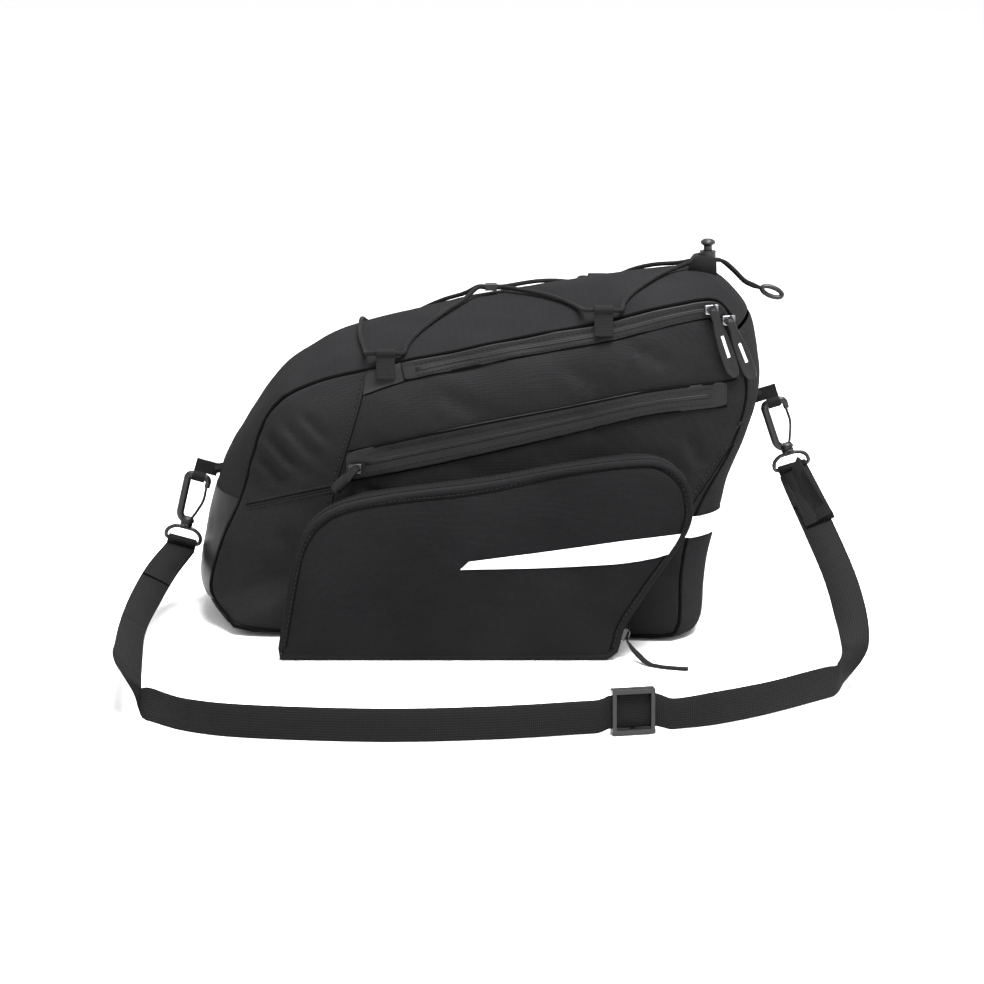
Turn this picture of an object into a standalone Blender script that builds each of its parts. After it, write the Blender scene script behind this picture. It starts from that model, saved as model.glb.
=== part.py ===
"""Bicycle trunk bag: a hollow cloth body with a domed top, two side pouches, a bungee cord and a shoulder strap.

Metres, +Z up. The bag's front is at -X and its left side at -Y. The origin is the middle of the base, on its underside.
"""

import math

import bmesh
import bpy
from mathutils import Vector
from mathutils.bvhtree import BVHTree

# Driving sizes of the body
LENGTH = 0.434
HEIGHT = 0.271
WIDTH = 0.176
WALL = 0.002
CLEARANCE = 0.0004

# Driving sizes of the pouches, one on each side
POUCH_LENGTH = 0.302
POUCH_HEIGHT = 0.145
POUCH_SETBACK = 0.072
POUCH_DEPTH_BASE = 0.057
POUCH_DEPTH_TOP = 0.040
POUCH_ROUNDING = 0.004
POUCH_CROWN = 0.004

# Driving sizes of the zips' cover flaps
FLAP = 0.0012
FLAP_GAP = 0.0006
MAIN_ZIP_BAND = 0.0128
MAIN_ZIP_DROP = 0.0014
PULL_WIDTH = 0.011
PULL_THICKNESS = 0.002
POUCH_RIBBON = 0.005

# Driving sizes of the cord and its fittings
CORD = 0.003
CORD_LOOP_WIDTH = 0.014
CORD_LOOP_TAIL = 0.020
CLIP_LENGTH = 0.009
LOCK_RADIUS = 0.0062
LOCK_HEIGHT = 0.0105
LOCK_TRAVEL = 0.0028
BUTTON_HEAD = 0.005
CORD_TAIL = 0.035

# Driving sizes of the strap and its hooks
STRAP_WIDTH = 0.0235
STRAP_THICKNESS = 0.0016
WEBBING = 0.0015
STRAP_REACH = 0.330
STRAP_SPREAD = 0.590
HOOK_LENGTH = 0.0410
HOOK_WIDTH = 0.0165
HOOK_WIRE = 0.0050
EYE_WIRE = 0.0030
EYE_DROP = 0.0112
TAB_WIDTH = 0.010
TAB_HEIGHT = 0.010
BUCKLE_LENGTH = 0.030
BUCKLE_BAR = 0.0030

# Sections round the bag's side view. Lengths are shares: x of half the length, z of the height and half of half the
# width. seam is where a side panel ends, ridge is the middle plane, and flat is how far a section runs level
# from the middle before it bends down to the seam.
OUTLINE = [
    # name            seam_x  seam_z  half   ridge_x ridge_z flat
    ("base_front", -0.790, 0.016, 0.955, -0.790, 0.000, 0.85),
    ("toe", -0.884, 0.046, 0.795, -0.904, 0.024, 0.60),
    ("nose_under", -0.926, 0.078, 0.682, -0.968, 0.062, 0.20),
    ("nose", -0.945, 0.118, 0.659, -1.000, 0.118, 0.00),
    ("nose_mid", -0.922, 0.199, 0.659, -0.984, 0.206, 0.00),
    ("nose_high", -0.876, 0.295, 0.682, -0.958, 0.303, 0.00),
    ("chin", -0.829, 0.376, 0.705, -0.934, 0.387, 0.00),
    ("brow_low", -0.788, 0.487, 0.716, -0.880, 0.491, 0.00),
    ("brow", -0.747, 0.587, 0.716, -0.792, 0.598, 0.00),
    ("brow_high", -0.673, 0.668, 0.727, -0.699, 0.703, 0.00),
    ("shoulder", -0.521, 0.726, 0.750, -0.541, 0.796, 0.00),
    ("front_loop", -0.313, 0.764, 0.773, -0.325, 0.855, 0.00),
    ("top_front", -0.150, 0.795, 0.784, -0.160, 0.885, 0.00),
    ("top_middle", 0.110, 0.838, 0.795, 0.105, 0.931, 0.00),
    ("rear_loop", 0.435, 0.885, 0.795, 0.430, 0.967, 0.00),
    ("top_rear", 0.645, 0.926, 0.773, 0.645, 0.991, 0.00),
    ("lock", 0.800, 0.943, 0.705, 0.813, 0.984, 0.30),
    ("rear_corner", 0.860, 0.915, 0.682, 0.893, 0.948, 0.00),
    ("rear_top", 0.899, 0.856, 0.682, 0.963, 0.878, 0.00),
    ("rear_high", 0.922, 0.775, 0.705, 0.994, 0.782, 0.00),
    ("rear_tab", 0.935, 0.694, 0.750, 1.007, 0.686, 0.00),
    ("rear_mid", 0.917, 0.609, 0.795, 0.989, 0.598, 0.00),
    ("rear_bend", 0.876, 0.517, 0.841, 0.945, 0.517, 0.20),
    ("rear_low", 0.802, 0.413, 0.886, 0.895, 0.420, 0.40),
    ("heel_high", 0.745, 0.310, 0.932, 0.853, 0.310, 0.50),
    ("heel_mid", 0.716, 0.192, 0.977, 0.815, 0.199, 0.55),
    ("heel_low", 0.712, 0.089, 1.030, 0.803, 0.096, 0.60),
    ("heel", 0.700, 0.030, 1.070, 0.786, 0.026, 0.70),
    ("base_rear", 0.635, 0.010, 1.080, 0.680, 0.000, 0.85),
    ("base_middle", 0.230, 0.014, 1.000, 0.230, 0.000, 0.85),
    ("base_fore", -0.276, 0.015, 0.977, -0.276, 0.000, 0.85),
]
ROW = {row[0]: index for index, row in enumerate(OUTLINE)}

# A pouch's outline, from its lower front corner over the top to its lower rear corner, as shares of its length
# and height
POUCH = [
    # x      z
    (0.000, 0.000),
    (0.003, 0.055),
    (0.030, 0.386),
    (0.050, 0.560),
    (0.088, 0.685),
    (0.155, 0.765),
    (0.285, 0.822),
    (0.512, 0.882),
    (0.705, 0.955),
    (0.860, 0.995),
    (0.935, 0.985),
    (0.985, 0.900),
    (1.000, 0.780),
    (0.990, 0.670),
    (0.955, 0.545),
    (0.893, 0.358),
    (0.840, 0.180),
    (0.820, 0.045),
    (0.800, 0.000),
]

# The side zip's flap: x as a share of half the length, its upper and lower edges as shares of the height
SIDE_ZIP = [
    # x     upper  lower
    (-0.452, 0.528, 0.446),
    (-0.101, 0.593, 0.505),
    (0.318, 0.659, 0.583),
    (0.585, 0.698, 0.631),
    (0.865, 0.718, 0.650),
]

# The bungee cord's route on the left half, from the cord lock at the rear to the middle at the front. x is a share
# of half the length and y of half the width. "loop" rows pass through a webbing loop, "clip" through the top clip.
CORD_ROUTE = [
    # kind     x       y
    ("lock", 0.770, 0.030),
    ("top", 0.700, 0.110),
    ("top", 0.600, 0.400),
    ("top", 0.510, 0.640),
    ("loop", 0.435, 0.795),
    ("top", 0.350, 0.620),
    ("top", 0.250, 0.380),
    ("top", 0.150, 0.150),
    ("clip", 0.050, 0.030),
    ("top", -0.050, 0.170),
    ("top", -0.150, 0.420),
    ("top", -0.235, 0.640),
    ("loop", -0.313, 0.773),
    ("top", -0.385, 0.620),
    ("top", -0.405, 0.420),
    ("top", -0.410, 0.200),
]

# The strap's rulings between its two hooks. low is its lower or outer edge and high its upper or inner one:
# x is a share of the spread, y of the reach in front of the bag's middle and z of the bag's height.
STRAP_ROUTE = [
    # low_x   low_y  low_z   high_x  high_y high_z
    (-0.4282, 0.130, 0.170, -0.3940, 0.110, 0.125),
    (-0.4365, 0.310, 0.155, -0.4030, 0.300, 0.112),
    (-0.4370, 0.510, 0.150, -0.4065, 0.520, 0.110),
    (-0.4310, 0.700, 0.152, -0.3970, 0.725, 0.104),
    (-0.4240, 0.818, 0.150, -0.3900, 0.850, 0.088),
    (-0.3995, 0.860, 0.076, -0.3885, 0.858, 0.086),
    (-0.3850, 0.866, 0.000, -0.3870, 0.864, 0.087),
    (-0.3350, 0.936, 0.000, -0.3360, 0.933, 0.087),
    (-0.2600, 0.980, 0.000, -0.2605, 0.976, 0.087),
    (-0.1100, 1.005, 0.000, -0.1100, 1.001, 0.087),
    (0.0200, 0.990, 0.000, 0.0200, 0.986, 0.087),
    (0.1280, 0.955, 0.001, 0.1280, 0.951, 0.088),
    (0.1570, 0.947, 0.0150, 0.1570, 0.943, 0.1020),
    (0.1820, 0.939, 0.0150, 0.1820, 0.935, 0.1020),
    (0.2070, 0.931, 0.0150, 0.2070, 0.927, 0.1020),
    (0.2340, 0.922, 0.001, 0.2340, 0.918, 0.082),
    (0.2800, 0.894, 0.000, 0.2800, 0.890, 0.087),
    (0.3450, 0.825, 0.000, 0.3450, 0.822, 0.087),
    (0.4230, 0.716, 0.000, 0.4240, 0.716, 0.087),
    (0.4430, 0.685, 0.035, 0.4350, 0.698, 0.095),
    (0.4673, 0.655, 0.086, 0.4407, 0.662, 0.108),
    (0.4773, 0.615, 0.126, 0.4402, 0.632, 0.132),
    (0.4796, 0.500, 0.180, 0.4410, 0.520, 0.150),
    (0.4700, 0.350, 0.256, 0.4330, 0.360, 0.224),
    (0.4600, 0.200, 0.330, 0.4240, 0.210, 0.297),
]

# Where each hook hangs: the part of a section past a row where its tab is sewn, how far the hook's bar stands off
# the ridge there, and its lean from straight down
HOOKS = {
    "front": {"row": "chin", "past": 0.0, "stand_off": 0.0140, "lean_deg": 15.5},
    "rear": {"row": "rear_tab", "past": 0.92, "stand_off": 0.0145, "lean_deg": -17.0},
}

FABRIC = ("black_fabric", (0.022, 0.022, 0.023, 1), 0.85, 0.0)
WEB = ("black_webbing", (0.014, 0.014, 0.014, 1), 0.8, 0.0)
PLASTIC = ("black_plastic", (0.018, 0.018, 0.018, 1), 0.35, 0.0)
METAL = ("black_metal", (0.02, 0.02, 0.02, 1), 0.3, 0.9)
BUNGEE = ("black_cord", (0.012, 0.012, 0.012, 1), 0.7, 0.0)


def clear_scene():
    for obj in list(bpy.data.objects):
        bpy.data.objects.remove(obj)


def material(finish):
    name, colour, roughness, metallic = finish
    made = bpy.data.materials.get(name) or bpy.data.materials.new(name)
    made.use_nodes = True
    shader = made.node_tree.nodes["Principled BSDF"]
    shader.inputs["Base Color"].default_value = colour
    shader.inputs["Roughness"].default_value = roughness
    shader.inputs["Metallic"].default_value = metallic
    return made


def add_mesh(name, bm, finish, smooth_deg=40):
    mesh = bpy.data.meshes.new(name)
    bm.to_mesh(mesh)
    bm.free()
    mesh.shade_smooth()
    mesh.set_sharp_from_angle(angle=math.radians(smooth_deg))
    obj = bpy.data.objects.new(name, mesh)
    obj.data.materials.append(material(finish))
    bpy.context.scene.collection.objects.link(obj)
    return obj


def grid(bm, rows, wrap=False):
    """Quads between rows of points, with each row joined end to end where wrap is set."""
    rings = [[bm.verts.new(point) for point in row] for row in rows]
    for first, second in zip(rings, rings[1:]):
        count = len(first)
        for i in range(count if wrap else count - 1):
            j = (i + 1) % count
            bm.faces.new((first[i], first[j], second[j], second[i]))
    return rings


def thicken(obj, thickness, outward=False):
    solid = obj.modifiers.new("wall", "SOLIDIFY")
    solid.thickness = thickness
    solid.offset = 1.0 if outward else -1.0
    solid.use_even_offset = True
    return obj


def smooth_value(values, at):
    """A value read between its neighbours in a list that runs round, on a Catmull-Rom curve."""
    index = math.floor(at)
    part = at - index
    a, b, c, d = (values[(index + k) % len(values)] for k in (-1, 0, 1, 2))
    return b + 0.5 * part * (c - a + part * (2 * a - 5 * b + 4 * c - d + part * (3 * (b - c) + d - a)))


def curve_through(points, steps):
    """A smooth curve that keeps the given points and adds others between them."""
    ends = [2 * points[0] - points[1]] + points + [2 * points[-1] - points[-2]]
    fine = []
    for k in range(len(points) - 1):
        a, b, c, d = ends[k : k + 4]
        for step in range(steps):
            t = step / steps
            fine.append(b + 0.5 * t * (c - a + t * (2 * a - 5 * b + 4 * c - d + t * (3 * (b - c) + d - a))))
    fine.append(points[-1])
    return fine


def smooth_path(points, count):
    """Points spread evenly along a smooth curve through the given ones."""
    fine = curve_through(points, 12)
    lengths = [0.0]
    for first, second in zip(fine, fine[1:]):
        lengths.append(lengths[-1] + (second - first).length)
    spread = []
    k = 0
    for step in range(count):
        want = lengths[-1] * step / (count - 1)
        while k < len(fine) - 2 and lengths[k + 1] < want:
            k += 1
        part = (want - lengths[k]) / (lengths[k + 1] - lengths[k])
        spread.append(fine[k].lerp(fine[k + 1], part))
    return spread


def section(at):
    """The body's section at a place round its outline: seam point, half width, ridge point and flat share."""
    columns = list(zip(*OUTLINE))
    seam_x, seam_z, half, ridge_x, ridge_z, flat = (smooth_value(columns[k], at) for k in range(1, 7))
    return (
        Vector((seam_x * LENGTH / 2, seam_z * HEIGHT)),
        half * WIDTH / 2,
        Vector((ridge_x * LENGTH / 2, max(ridge_z, 0.0) * HEIGHT)),
        min(max(flat, 0.0), 0.9),
    )


def gusset_point(at, across):
    """A point of the strip between the side panels. across runs from -1 at the left seam to 1 at the right one."""
    seam, half, ridge, flat = section(at)
    bend = max(0.0, (abs(across) - flat) / (1 - flat))
    x, z = seam.lerp(ridge, 1 - bend**2)
    return Vector((x, half * across, z))


PANEL_MIDDLE = Vector((0.0, 0.39 * HEIGHT))


def panel_point(at, share, side):
    """A point of a side panel. share runs from 0 at the panel's middle to 1 at its seam, and side is -1 or 1."""
    seam, half, _, _ = section(at)
    x, z = PANEL_MIDDLE.lerp(seam, share)
    full = share**3
    return Vector((x, side * (half * full + WIDTH / 2 * (1 - full)), z))


STEPS_PER_ROW = 2
PLACES = [k / STEPS_PER_ROW for k in range(len(OUTLINE) * STEPS_PER_ROW)]
ACROSS = (1.0, 0.97, 0.91, 0.82, 0.66, 0.4, 0.0)
PANEL_SHARES = (0.92, 0.78, 0.55, 0.28)
END_GAP = 0.05  # in rows: the slit between the gussets' ends, where their walls lean towards each other


def facing_out(bm):
    bmesh.ops.remove_doubles(bm, verts=bm.verts, dist=1e-6)
    bmesh.ops.recalc_face_normals(bm, faces=bm.faces)
    if bm.calc_volume(signed=True) < 0:
        bmesh.ops.reverse_faces(bm, faces=bm.faces)


def side_panel(name, side):
    """One side of the bag, from its middle to just inside the seam, so that the gusset's wall laps over its edge."""
    bm = bmesh.new()
    rows = []
    edge = []
    for at in PLACES:
        reach = section(at)[0] - PANEL_MIDDLE
        along = (section(at + 0.05)[0] - section(at - 0.05)[0]).normalized()
        square = abs(reach.normalized().cross(along))
        edge.append(panel_point(at, 1 - (WALL + 3.2 * CLEARANCE) / (reach.length * max(square, 0.35)), side))
    rows.append(edge)
    for share in PANEL_SHARES:
        rows.append([panel_point(at, share, side) for at in PLACES])
    rings = grid(bm, rows, wrap=True)
    hub = bm.verts.new(panel_point(0, 0, side))
    last = rings[-1]
    for first, second in zip(last, last[1:] + last[:1]):
        bm.faces.new((first, second, hub))
    bm.normal_update()
    if sum(face.normal.y for face in bm.faces) * side < 0:
        bmesh.ops.reverse_faces(bm, faces=bm.faces)
    return thicken(add_mesh(name, bm, FABRIC), WALL)


def gusset(name, first_row, last_row):
    """A strip of wall from seam to seam, between two places round the outline."""
    start, end = ROW[first_row], ROW[last_row]
    if end < start:
        end += len(OUTLINE)
    places = [start + k / STEPS_PER_ROW for k in range((end - start) * STEPS_PER_ROW + 1)]
    places[0] += END_GAP
    places[-1] -= END_GAP
    across = [-a for a in ACROSS] + [a for a in reversed(ACROSS[:-1])]
    bm = bmesh.new()
    grid(bm, [[gusset_point(at, a) for a in across] for at in places])
    bm.normal_update()
    middle = Vector((PANEL_MIDDLE.x, 0, PANEL_MIDDLE.y))
    if sum(face.normal.dot(face.calc_center_median() - middle) for face in bm.faces) < 0:
        bmesh.ops.reverse_faces(bm, faces=bm.faces)
    return thicken(add_mesh(name, bm, FABRIC), WALL)


def skin_tree(objects):
    """A ray target made of these objects' sheets, before their wall is added."""
    points, faces = [], []
    for obj in objects:
        first = len(points)
        points += [vertex.co.copy() for vertex in obj.data.vertices]
        faces += [[first + k for k in polygon.vertices] for polygon in obj.data.polygons]
    return BVHTree.FromPolygons(points, faces)


def side_y(tree, x, z, side):
    """How far out a side panel's surface lies at x and z."""
    hit = tree.ray_cast(Vector((x, side * WIDTH, z)), Vector((0, -side, 0)))[0]
    return hit.y if hit else None


def top_z(tree, x, y):
    hit = tree.ray_cast(Vector((x, y, 2 * HEIGHT)), Vector((0, 0, -1)))[0]
    return hit.z


def draped_strip(name, tree, side, pairs, finish):
    """A flap of cloth that lies on a side panel, between pairs of upper and lower points of its side view."""
    bm = bmesh.new()
    rows = []
    for upper, lower in pairs:
        row = []
        level = 0.0
        for k in (4, 3, 2, 1, 0):
            x, z = upper.lerp(lower, k / 4)
            found = side_y(tree, x, z, side)
            if found is not None and found * side > 0:
                level = found
            row.insert(0, Vector((x, level + side * FLAP_GAP, z)))
        rows.append(row)
    grid(bm, rows)
    bm.normal_update()
    if sum(face.normal.y for face in bm.faces) * side < 0:
        bmesh.ops.reverse_faces(bm, faces=bm.faces)
    return thicken(add_mesh(name, bm, finish), FLAP, outward=True)


def under_seam(at, depth):
    """A point of the side view this far inside the seam."""
    seam = section(at)[0]
    along = (section(at + 0.05)[0] - section(at - 0.05)[0]).normalized()
    return seam + Vector((along.y, -along.x)) * depth


def main_zip_pairs():
    start, end = ROW["front_loop"] + 0.3, ROW["rear_corner"] + 0.1
    count = 18
    places = [start + (end - start) * k / count for k in range(count + 1)]
    return [(under_seam(at, MAIN_ZIP_DROP), under_seam(at, MAIN_ZIP_DROP + MAIN_ZIP_BAND)) for at in places]


def side_zip_pairs():
    uppers = [Vector((x * LENGTH / 2, 0, high * HEIGHT)) for x, high, _ in SIDE_ZIP]
    lowers = [Vector((x * LENGTH / 2, 0, low * HEIGHT)) for x, _, low in SIDE_ZIP]
    pairs = zip(smooth_path(uppers, 19), smooth_path(lowers, 19))
    return [(Vector((upper.x, upper.z)), Vector((lower.x, lower.z))) for upper, lower in pairs]


def pouch_outline():
    start = -LENGTH / 2 + POUCH_SETBACK
    corner = [Vector((start + x * POUCH_LENGTH, z * POUCH_HEIGHT)) for x, z in POUCH]
    return [corner[0]] + smooth_path([p.to_3d() for p in corner[1:-1]], 34) + [corner[-1]]


def pouch(name, tree, side):
    """A hollow pouch: a crowned front and a wall round it, open at the back where it lies on the side panel."""
    outline = [Vector((p.x, p.y)) for p in pouch_outline()]
    low_x, high_x = min(p.x for p in outline), max(p.x for p in outline)
    middle = Vector(((low_x + high_x) / 2, POUCH_HEIGHT * 0.42))

    def back(point):
        inner = point + (middle - point).normalized() * 2 * WALL
        places = [(p.x, max(p.y, lowest * HEIGHT)) for p in (point, inner) for lowest in (0.012, 0.04, 0.10)]
        return max(abs(side_y(tree, x, z, side) or 0) for x, z in places) + 3 * CLEARANCE

    def front(point):
        height = point.y / POUCH_HEIGHT
        return WIDTH / 2 + POUCH_DEPTH_BASE + (POUCH_DEPTH_TOP - POUCH_DEPTH_BASE) * height

    def pulled(point, distance):
        return point + (middle - point).normalized() * distance

    rows = [
        [Vector((p.x, side * back(p), p.y)) for p in outline],
        [Vector((p.x, side * (back(p) + front(p)) / 2, p.y)) for p in outline],
        [Vector((p.x, side * (front(p) - POUCH_ROUNDING), p.y)) for p in outline],
    ]
    for inset, short in ((0.3, 0.3), (1.0, 0.0)):
        points = [pulled(p, inset * POUCH_ROUNDING) for p in outline]
        rows.append([Vector((p.x, side * (front(p) - short * POUCH_ROUNDING), p.y)) for p in points])
    for share in (0.75, 0.4):
        points = [middle.lerp(p, share) for p in outline]
        crown = POUCH_CROWN * (1 - share**2)
        rows.append([Vector((p.x, side * (front(p) + crown), p.y)) for p in points])
    bm = bmesh.new()
    rings = grid(bm, rows, wrap=True)
    hub = bm.verts.new(Vector((middle.x, side * (front(middle) + POUCH_CROWN), middle.y)))
    last = rings[-1]
    for first, second in zip(last, last[1:] + last[:1]):
        bm.faces.new((first, second, hub))
    bm.normal_update()
    if sum(face.normal.y for face in bm.faces) * side < 0:
        bmesh.ops.reverse_faces(bm, faces=bm.faces)
    return thicken(add_mesh(name, bm, FABRIC), WALL)


def plate(outline, holes, thickness):
    """A flat plate in its own X and Y, centred on Z = 0, with round or shaped holes through it."""
    bm = bmesh.new()
    for loop in [outline] + holes:
        verts = [bm.verts.new((x, y, -thickness / 2)) for x, y in loop]
        for first, second in zip(verts, verts[1:] + verts[:1]):
            bm.edges.new((first, second))
    bmesh.ops.triangle_fill(bm, use_beauty=True, use_dissolve=False, edges=bm.edges[:])
    raised = bmesh.ops.extrude_face_region(bm, geom=bm.faces[:])
    verts = [item for item in raised["geom"] if isinstance(item, bmesh.types.BMVert)]
    bmesh.ops.translate(bm, verts=verts, vec=(0, 0, thickness))
    return bm


def placed(bm, origin, x_axis, y_axis):
    """Turns and moves a mesh from its own axes to a place in the model."""
    x_axis = x_axis.normalized()
    z_axis = x_axis.cross(y_axis).normalized()
    y_axis = z_axis.cross(x_axis)
    for vertex in bm.verts:
        x, y, z = vertex.co
        vertex.co = origin + x_axis * x + y_axis * y + z_axis * z
    facing_out(bm)
    return bm


def circle(radius, sides, middle=(0.0, 0.0)):
    turn = 2 * math.pi / sides
    return [(middle[0] + radius * math.cos(k * turn), middle[1] + radius * math.sin(k * turn)) for k in range(sides)]


def webbing_loop(name, middle, axis, tail, hole, width, tail_length, thickness=WEBBING):
    """Webbing folded round a bar: an eye with a doubled tail. tail points the way the tail runs."""
    outer = hole + thickness
    half = thickness
    opening = math.asin(half / outer)
    sides = 12
    outline = [(tail_length, -half), (tail_length, half)]
    for k in range(sides + 1):
        angle = opening + (2 * math.pi - 2 * opening) * k / sides
        outline.append((outer * math.cos(angle), outer * math.sin(angle)))
    bm = plate(outline, [circle(hole, 10)], width)
    return add_mesh(name, placed(bm, middle, tail, axis.cross(tail)), WEB)


def tube(name, path, radius, finish, sides=8, closed=False):
    """A round bar along a path, with flat ends unless it closes on itself."""
    bm = bmesh.new()
    count = len(path)
    rows = []
    normal = None
    for k, point in enumerate(path):
        before = path[k - 1] if closed or k else path[0]
        after = path[(k + 1) % count] if closed or k < count - 1 else path[-1]
        along = (after - before).normalized()
        if normal is None:
            normal = along.orthogonal().normalized()
        normal = (normal - along * normal.dot(along)).normalized()
        other = along.cross(normal)
        rows.append([point + normal * u + other * v for u, v in circle(radius, sides)])
    if closed:
        rows.append(rows[0])
    rings = grid(bm, rows, wrap=True)
    if not closed:
        bm.faces.new(rings[0])
        bm.faces.new(rings[-1])
    facing_out(bm)
    return add_mesh(name, bm, finish)


def rounded_path(corners, radius, closed=False, steps=4):
    """A path through corners, each turned on a curve that starts this far from it."""
    path = []
    count = len(corners)
    for k, corner in enumerate(corners):
        if not closed and k in (0, count - 1):
            path.append(corner)
            continue
        before, after = corners[k - 1], corners[(k + 1) % count]
        into = corner + (before - corner).normalized() * radius
        out = corner + (after - corner).normalized() * radius
        for step in range(steps + 1):
            t = step / steps
            path.append(into * (1 - t) ** 2 + corner * 2 * t * (1 - t) + out * t**2)
    return path


def drop(obj, other, operation):
    cut = obj.modifiers.new(other.name, "BOOLEAN")
    cut.operation = operation
    cut.object = other
    other.hide_render = True
    other.display_type = "WIRE"


def cylinder(name, low, high, radius, finish, sides=16):
    return tube(name, [low, high], radius, finish, sides=sides)


def hook_frame(end):
    """Where a hook hangs from its tab: the bar's middle, the way across and the way down."""
    facts = HOOKS[end]
    outward = -1 if end == "front" else 1
    anchor = gusset_point(ROW[facts["row"]] + facts["past"], 0)
    lean = math.radians(facts["lean_deg"])
    down = Vector((-math.sin(lean), 0, -math.cos(lean)))
    across = Vector((math.cos(lean), 0, -math.sin(lean)))
    return anchor + Vector((outward * facts["stand_off"], 0, 0)), across, down


def snap_hook(end):
    """A snap hook: the hooked bar and its swivel block, the spring gate, and the wire eye that the strap ends on."""
    bar, across, down = hook_frame(end)
    half = HOOK_WIDTH / 2

    def at(u, v):
        return bar + across * u + down * v

    wire = HOOK_WIRE / 2
    corners = [
        at(0, HOOK_LENGTH - wire),
        at(-half * 0.85, HOOK_LENGTH * 0.84),
        at(-half, 0),
        at(half, 0),
        at(half, HOOK_LENGTH * 0.18),
    ]
    hook = tube(f"{end}_hook", rounded_path(corners, half * 0.42), wire, PLASTIC)
    block = cylinder(f"{end}_block", at(0, HOOK_LENGTH * 0.88), at(0, HOOK_LENGTH), wire * 1.8, PLASTIC)
    drop(hook, block, "UNION")
    gate = [
        at(half * 0.95, HOOK_LENGTH * 0.18 + CLEARANCE * 1.5),
        at(half * 0.98, HOOK_LENGTH * 0.45),
        at(half * 0.62, HOOK_LENGTH * 0.70),
        at(half * 0.30, HOOK_LENGTH * 0.88 - CLEARANCE * 1.5),
    ]
    tube(f"{end}_hook_gate", smooth_path(gate, 8), wire * 0.42, METAL, sides=6)
    eye = EYE_WIRE / 2
    top = HOOK_LENGTH + eye + CLEARANCE
    wide = STRAP_WIDTH / 2 + eye + CLEARANCE
    ring = [
        at(-wide, top + EYE_DROP),
        at(-wide, top + EYE_DROP * 0.4),
        at(-wide * 0.55, top),
        at(wide * 0.55, top),
        at(wide, top + EYE_DROP * 0.4),
        at(wide, top + EYE_DROP),
    ]
    tube(f"{end}_hook_eye", rounded_path(ring, EYE_DROP * 0.3, closed=True, steps=3), eye, METAL, sides=6, closed=True)
    return at(0, top + EYE_DROP), across, down


def hook_tab(end, tree):
    """The webbing tab that a hook hangs from: an eye round the hook's bar under a fin that is sewn to the ridge."""
    bar, across, down = hook_frame(end)
    inward = across if end == "front" else -across
    hole = HOOK_WIRE / 2 + CLEARANCE
    tab = webbing_loop(f"{end}_tab", bar, across, -down, hole, TAB_WIDTH, hole + 2.5 * WEBBING)
    outer, inner = [], []
    for share in (0.0, 0.5, 1.0):
        level = bar - down * (HOOK_WIRE / 2 + 3 * CLEARANCE + TAB_HEIGHT * share)
        outer.append(level - inward * TAB_WIDTH * 0.48)
        inner.append(tree.ray_cast(level, inward)[0] - inward * CLEARANCE * 1.5)
    fin = plate([(point.x, point.z) for point in outer + inner[::-1]], [], WEBBING * 1.9)
    fin = placed(fin, Vector((0, 0, 0)), Vector((1, 0, 0)), Vector((0, 0, 1)))
    drop(tab, add_mesh(f"{end}_tab_fin", fin, WEB), "UNION")


def strap_band(front_bar, rear_bar):
    """The strap as one band of webbing between the two eyes' loops."""
    low, high = [], []
    for low_x, low_y, low_z, high_x, high_y, high_z in STRAP_ROUTE:
        low.append(Vector((low_x * STRAP_SPREAD, -low_y * STRAP_REACH, low_z * HEIGHT)))
        high.append(Vector((high_x * STRAP_SPREAD, -high_y * STRAP_REACH, high_z * HEIGHT)))
    for bar, across, away, where in ((*front_bar, 0), (*rear_bar, len(low))):
        start = bar + away * (EYE_WIRE / 2 + CLEARANCE + 3 * WEBBING)
        low.insert(where, start + across * STRAP_WIDTH / 2 * (-1 if where == 0 else 1))
        high.insert(where, start + across * STRAP_WIDTH / 2 * (1 if where == 0 else -1))
    rulings = []
    for k in range(len(low)):
        rulings.append((low[k], high[k]))
    return rulings


def ribbon(name, rulings, thickness, finish):
    """A band of even thickness on a line of rulings, each from its low edge to its high edge."""
    fine = []
    count = len(rulings)
    for k in range(count - 1):
        rows = [rulings[min(max(k + step, 0), count - 1)] for step in (-1, 0, 1, 2)]
        for part in (0.0, 0.5):
            pair = []
            for edge in (0, 1):
                a, b, c, d = (row[edge] for row in rows)
                curve = 3 * (b - c) + d - a
                pair.append(b + 0.5 * part * (c - a + part * (2 * a - 5 * b + 4 * c - d + part * curve)))
            fine.append(pair)
    fine.append(rulings[-1])
    bm = bmesh.new()
    rows = []
    for k, (low, high) in enumerate(fine):
        before, after = fine[max(k - 1, 0)], fine[min(k + 1, len(fine) - 1)]
        along = (after[0] + after[1]) - (before[0] + before[1])
        out = along.cross(high - low).normalized() * thickness / 2
        lift = Vector((0, 0, max(0.0, abs(out.z) - min(low.z, high.z))))
        rows.append([low + out + lift, high + out + lift, high - out + lift, low - out + lift])
    rings = grid(bm, rows, wrap=True)
    bm.faces.new(rings[0])
    bm.faces.new(rings[-1])
    facing_out(bm)
    return add_mesh(name, bm, finish)


def loop_frame(tree, row, side):
    """Where a webbing loop's eye stands over the top seam, and the way its tail runs down the side."""
    at = ROW[row]
    seam, half, _, _ = section(at)
    corner = Vector((seam.x, side * half, seam.y))
    below = seam.y - CORD_LOOP_TAIL * 0.75
    foot = Vector((seam.x, side_y(tree, seam.x, below, side), below))
    down = (foot - corner).normalized()
    out = Vector((0, side, 0))
    out = (out - down * out.dot(down)).normalized()
    over_flap = FLAP_GAP + FLAP + CLEARANCE if row == "rear_loop" else 0.0
    stand = WEBBING + 3.5 * CLEARANCE + over_flap
    middle = corner + out * stand - down * (CORD / 2 + CLEARANCE + 2 * WEBBING + 0.003)
    return middle, down


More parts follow.
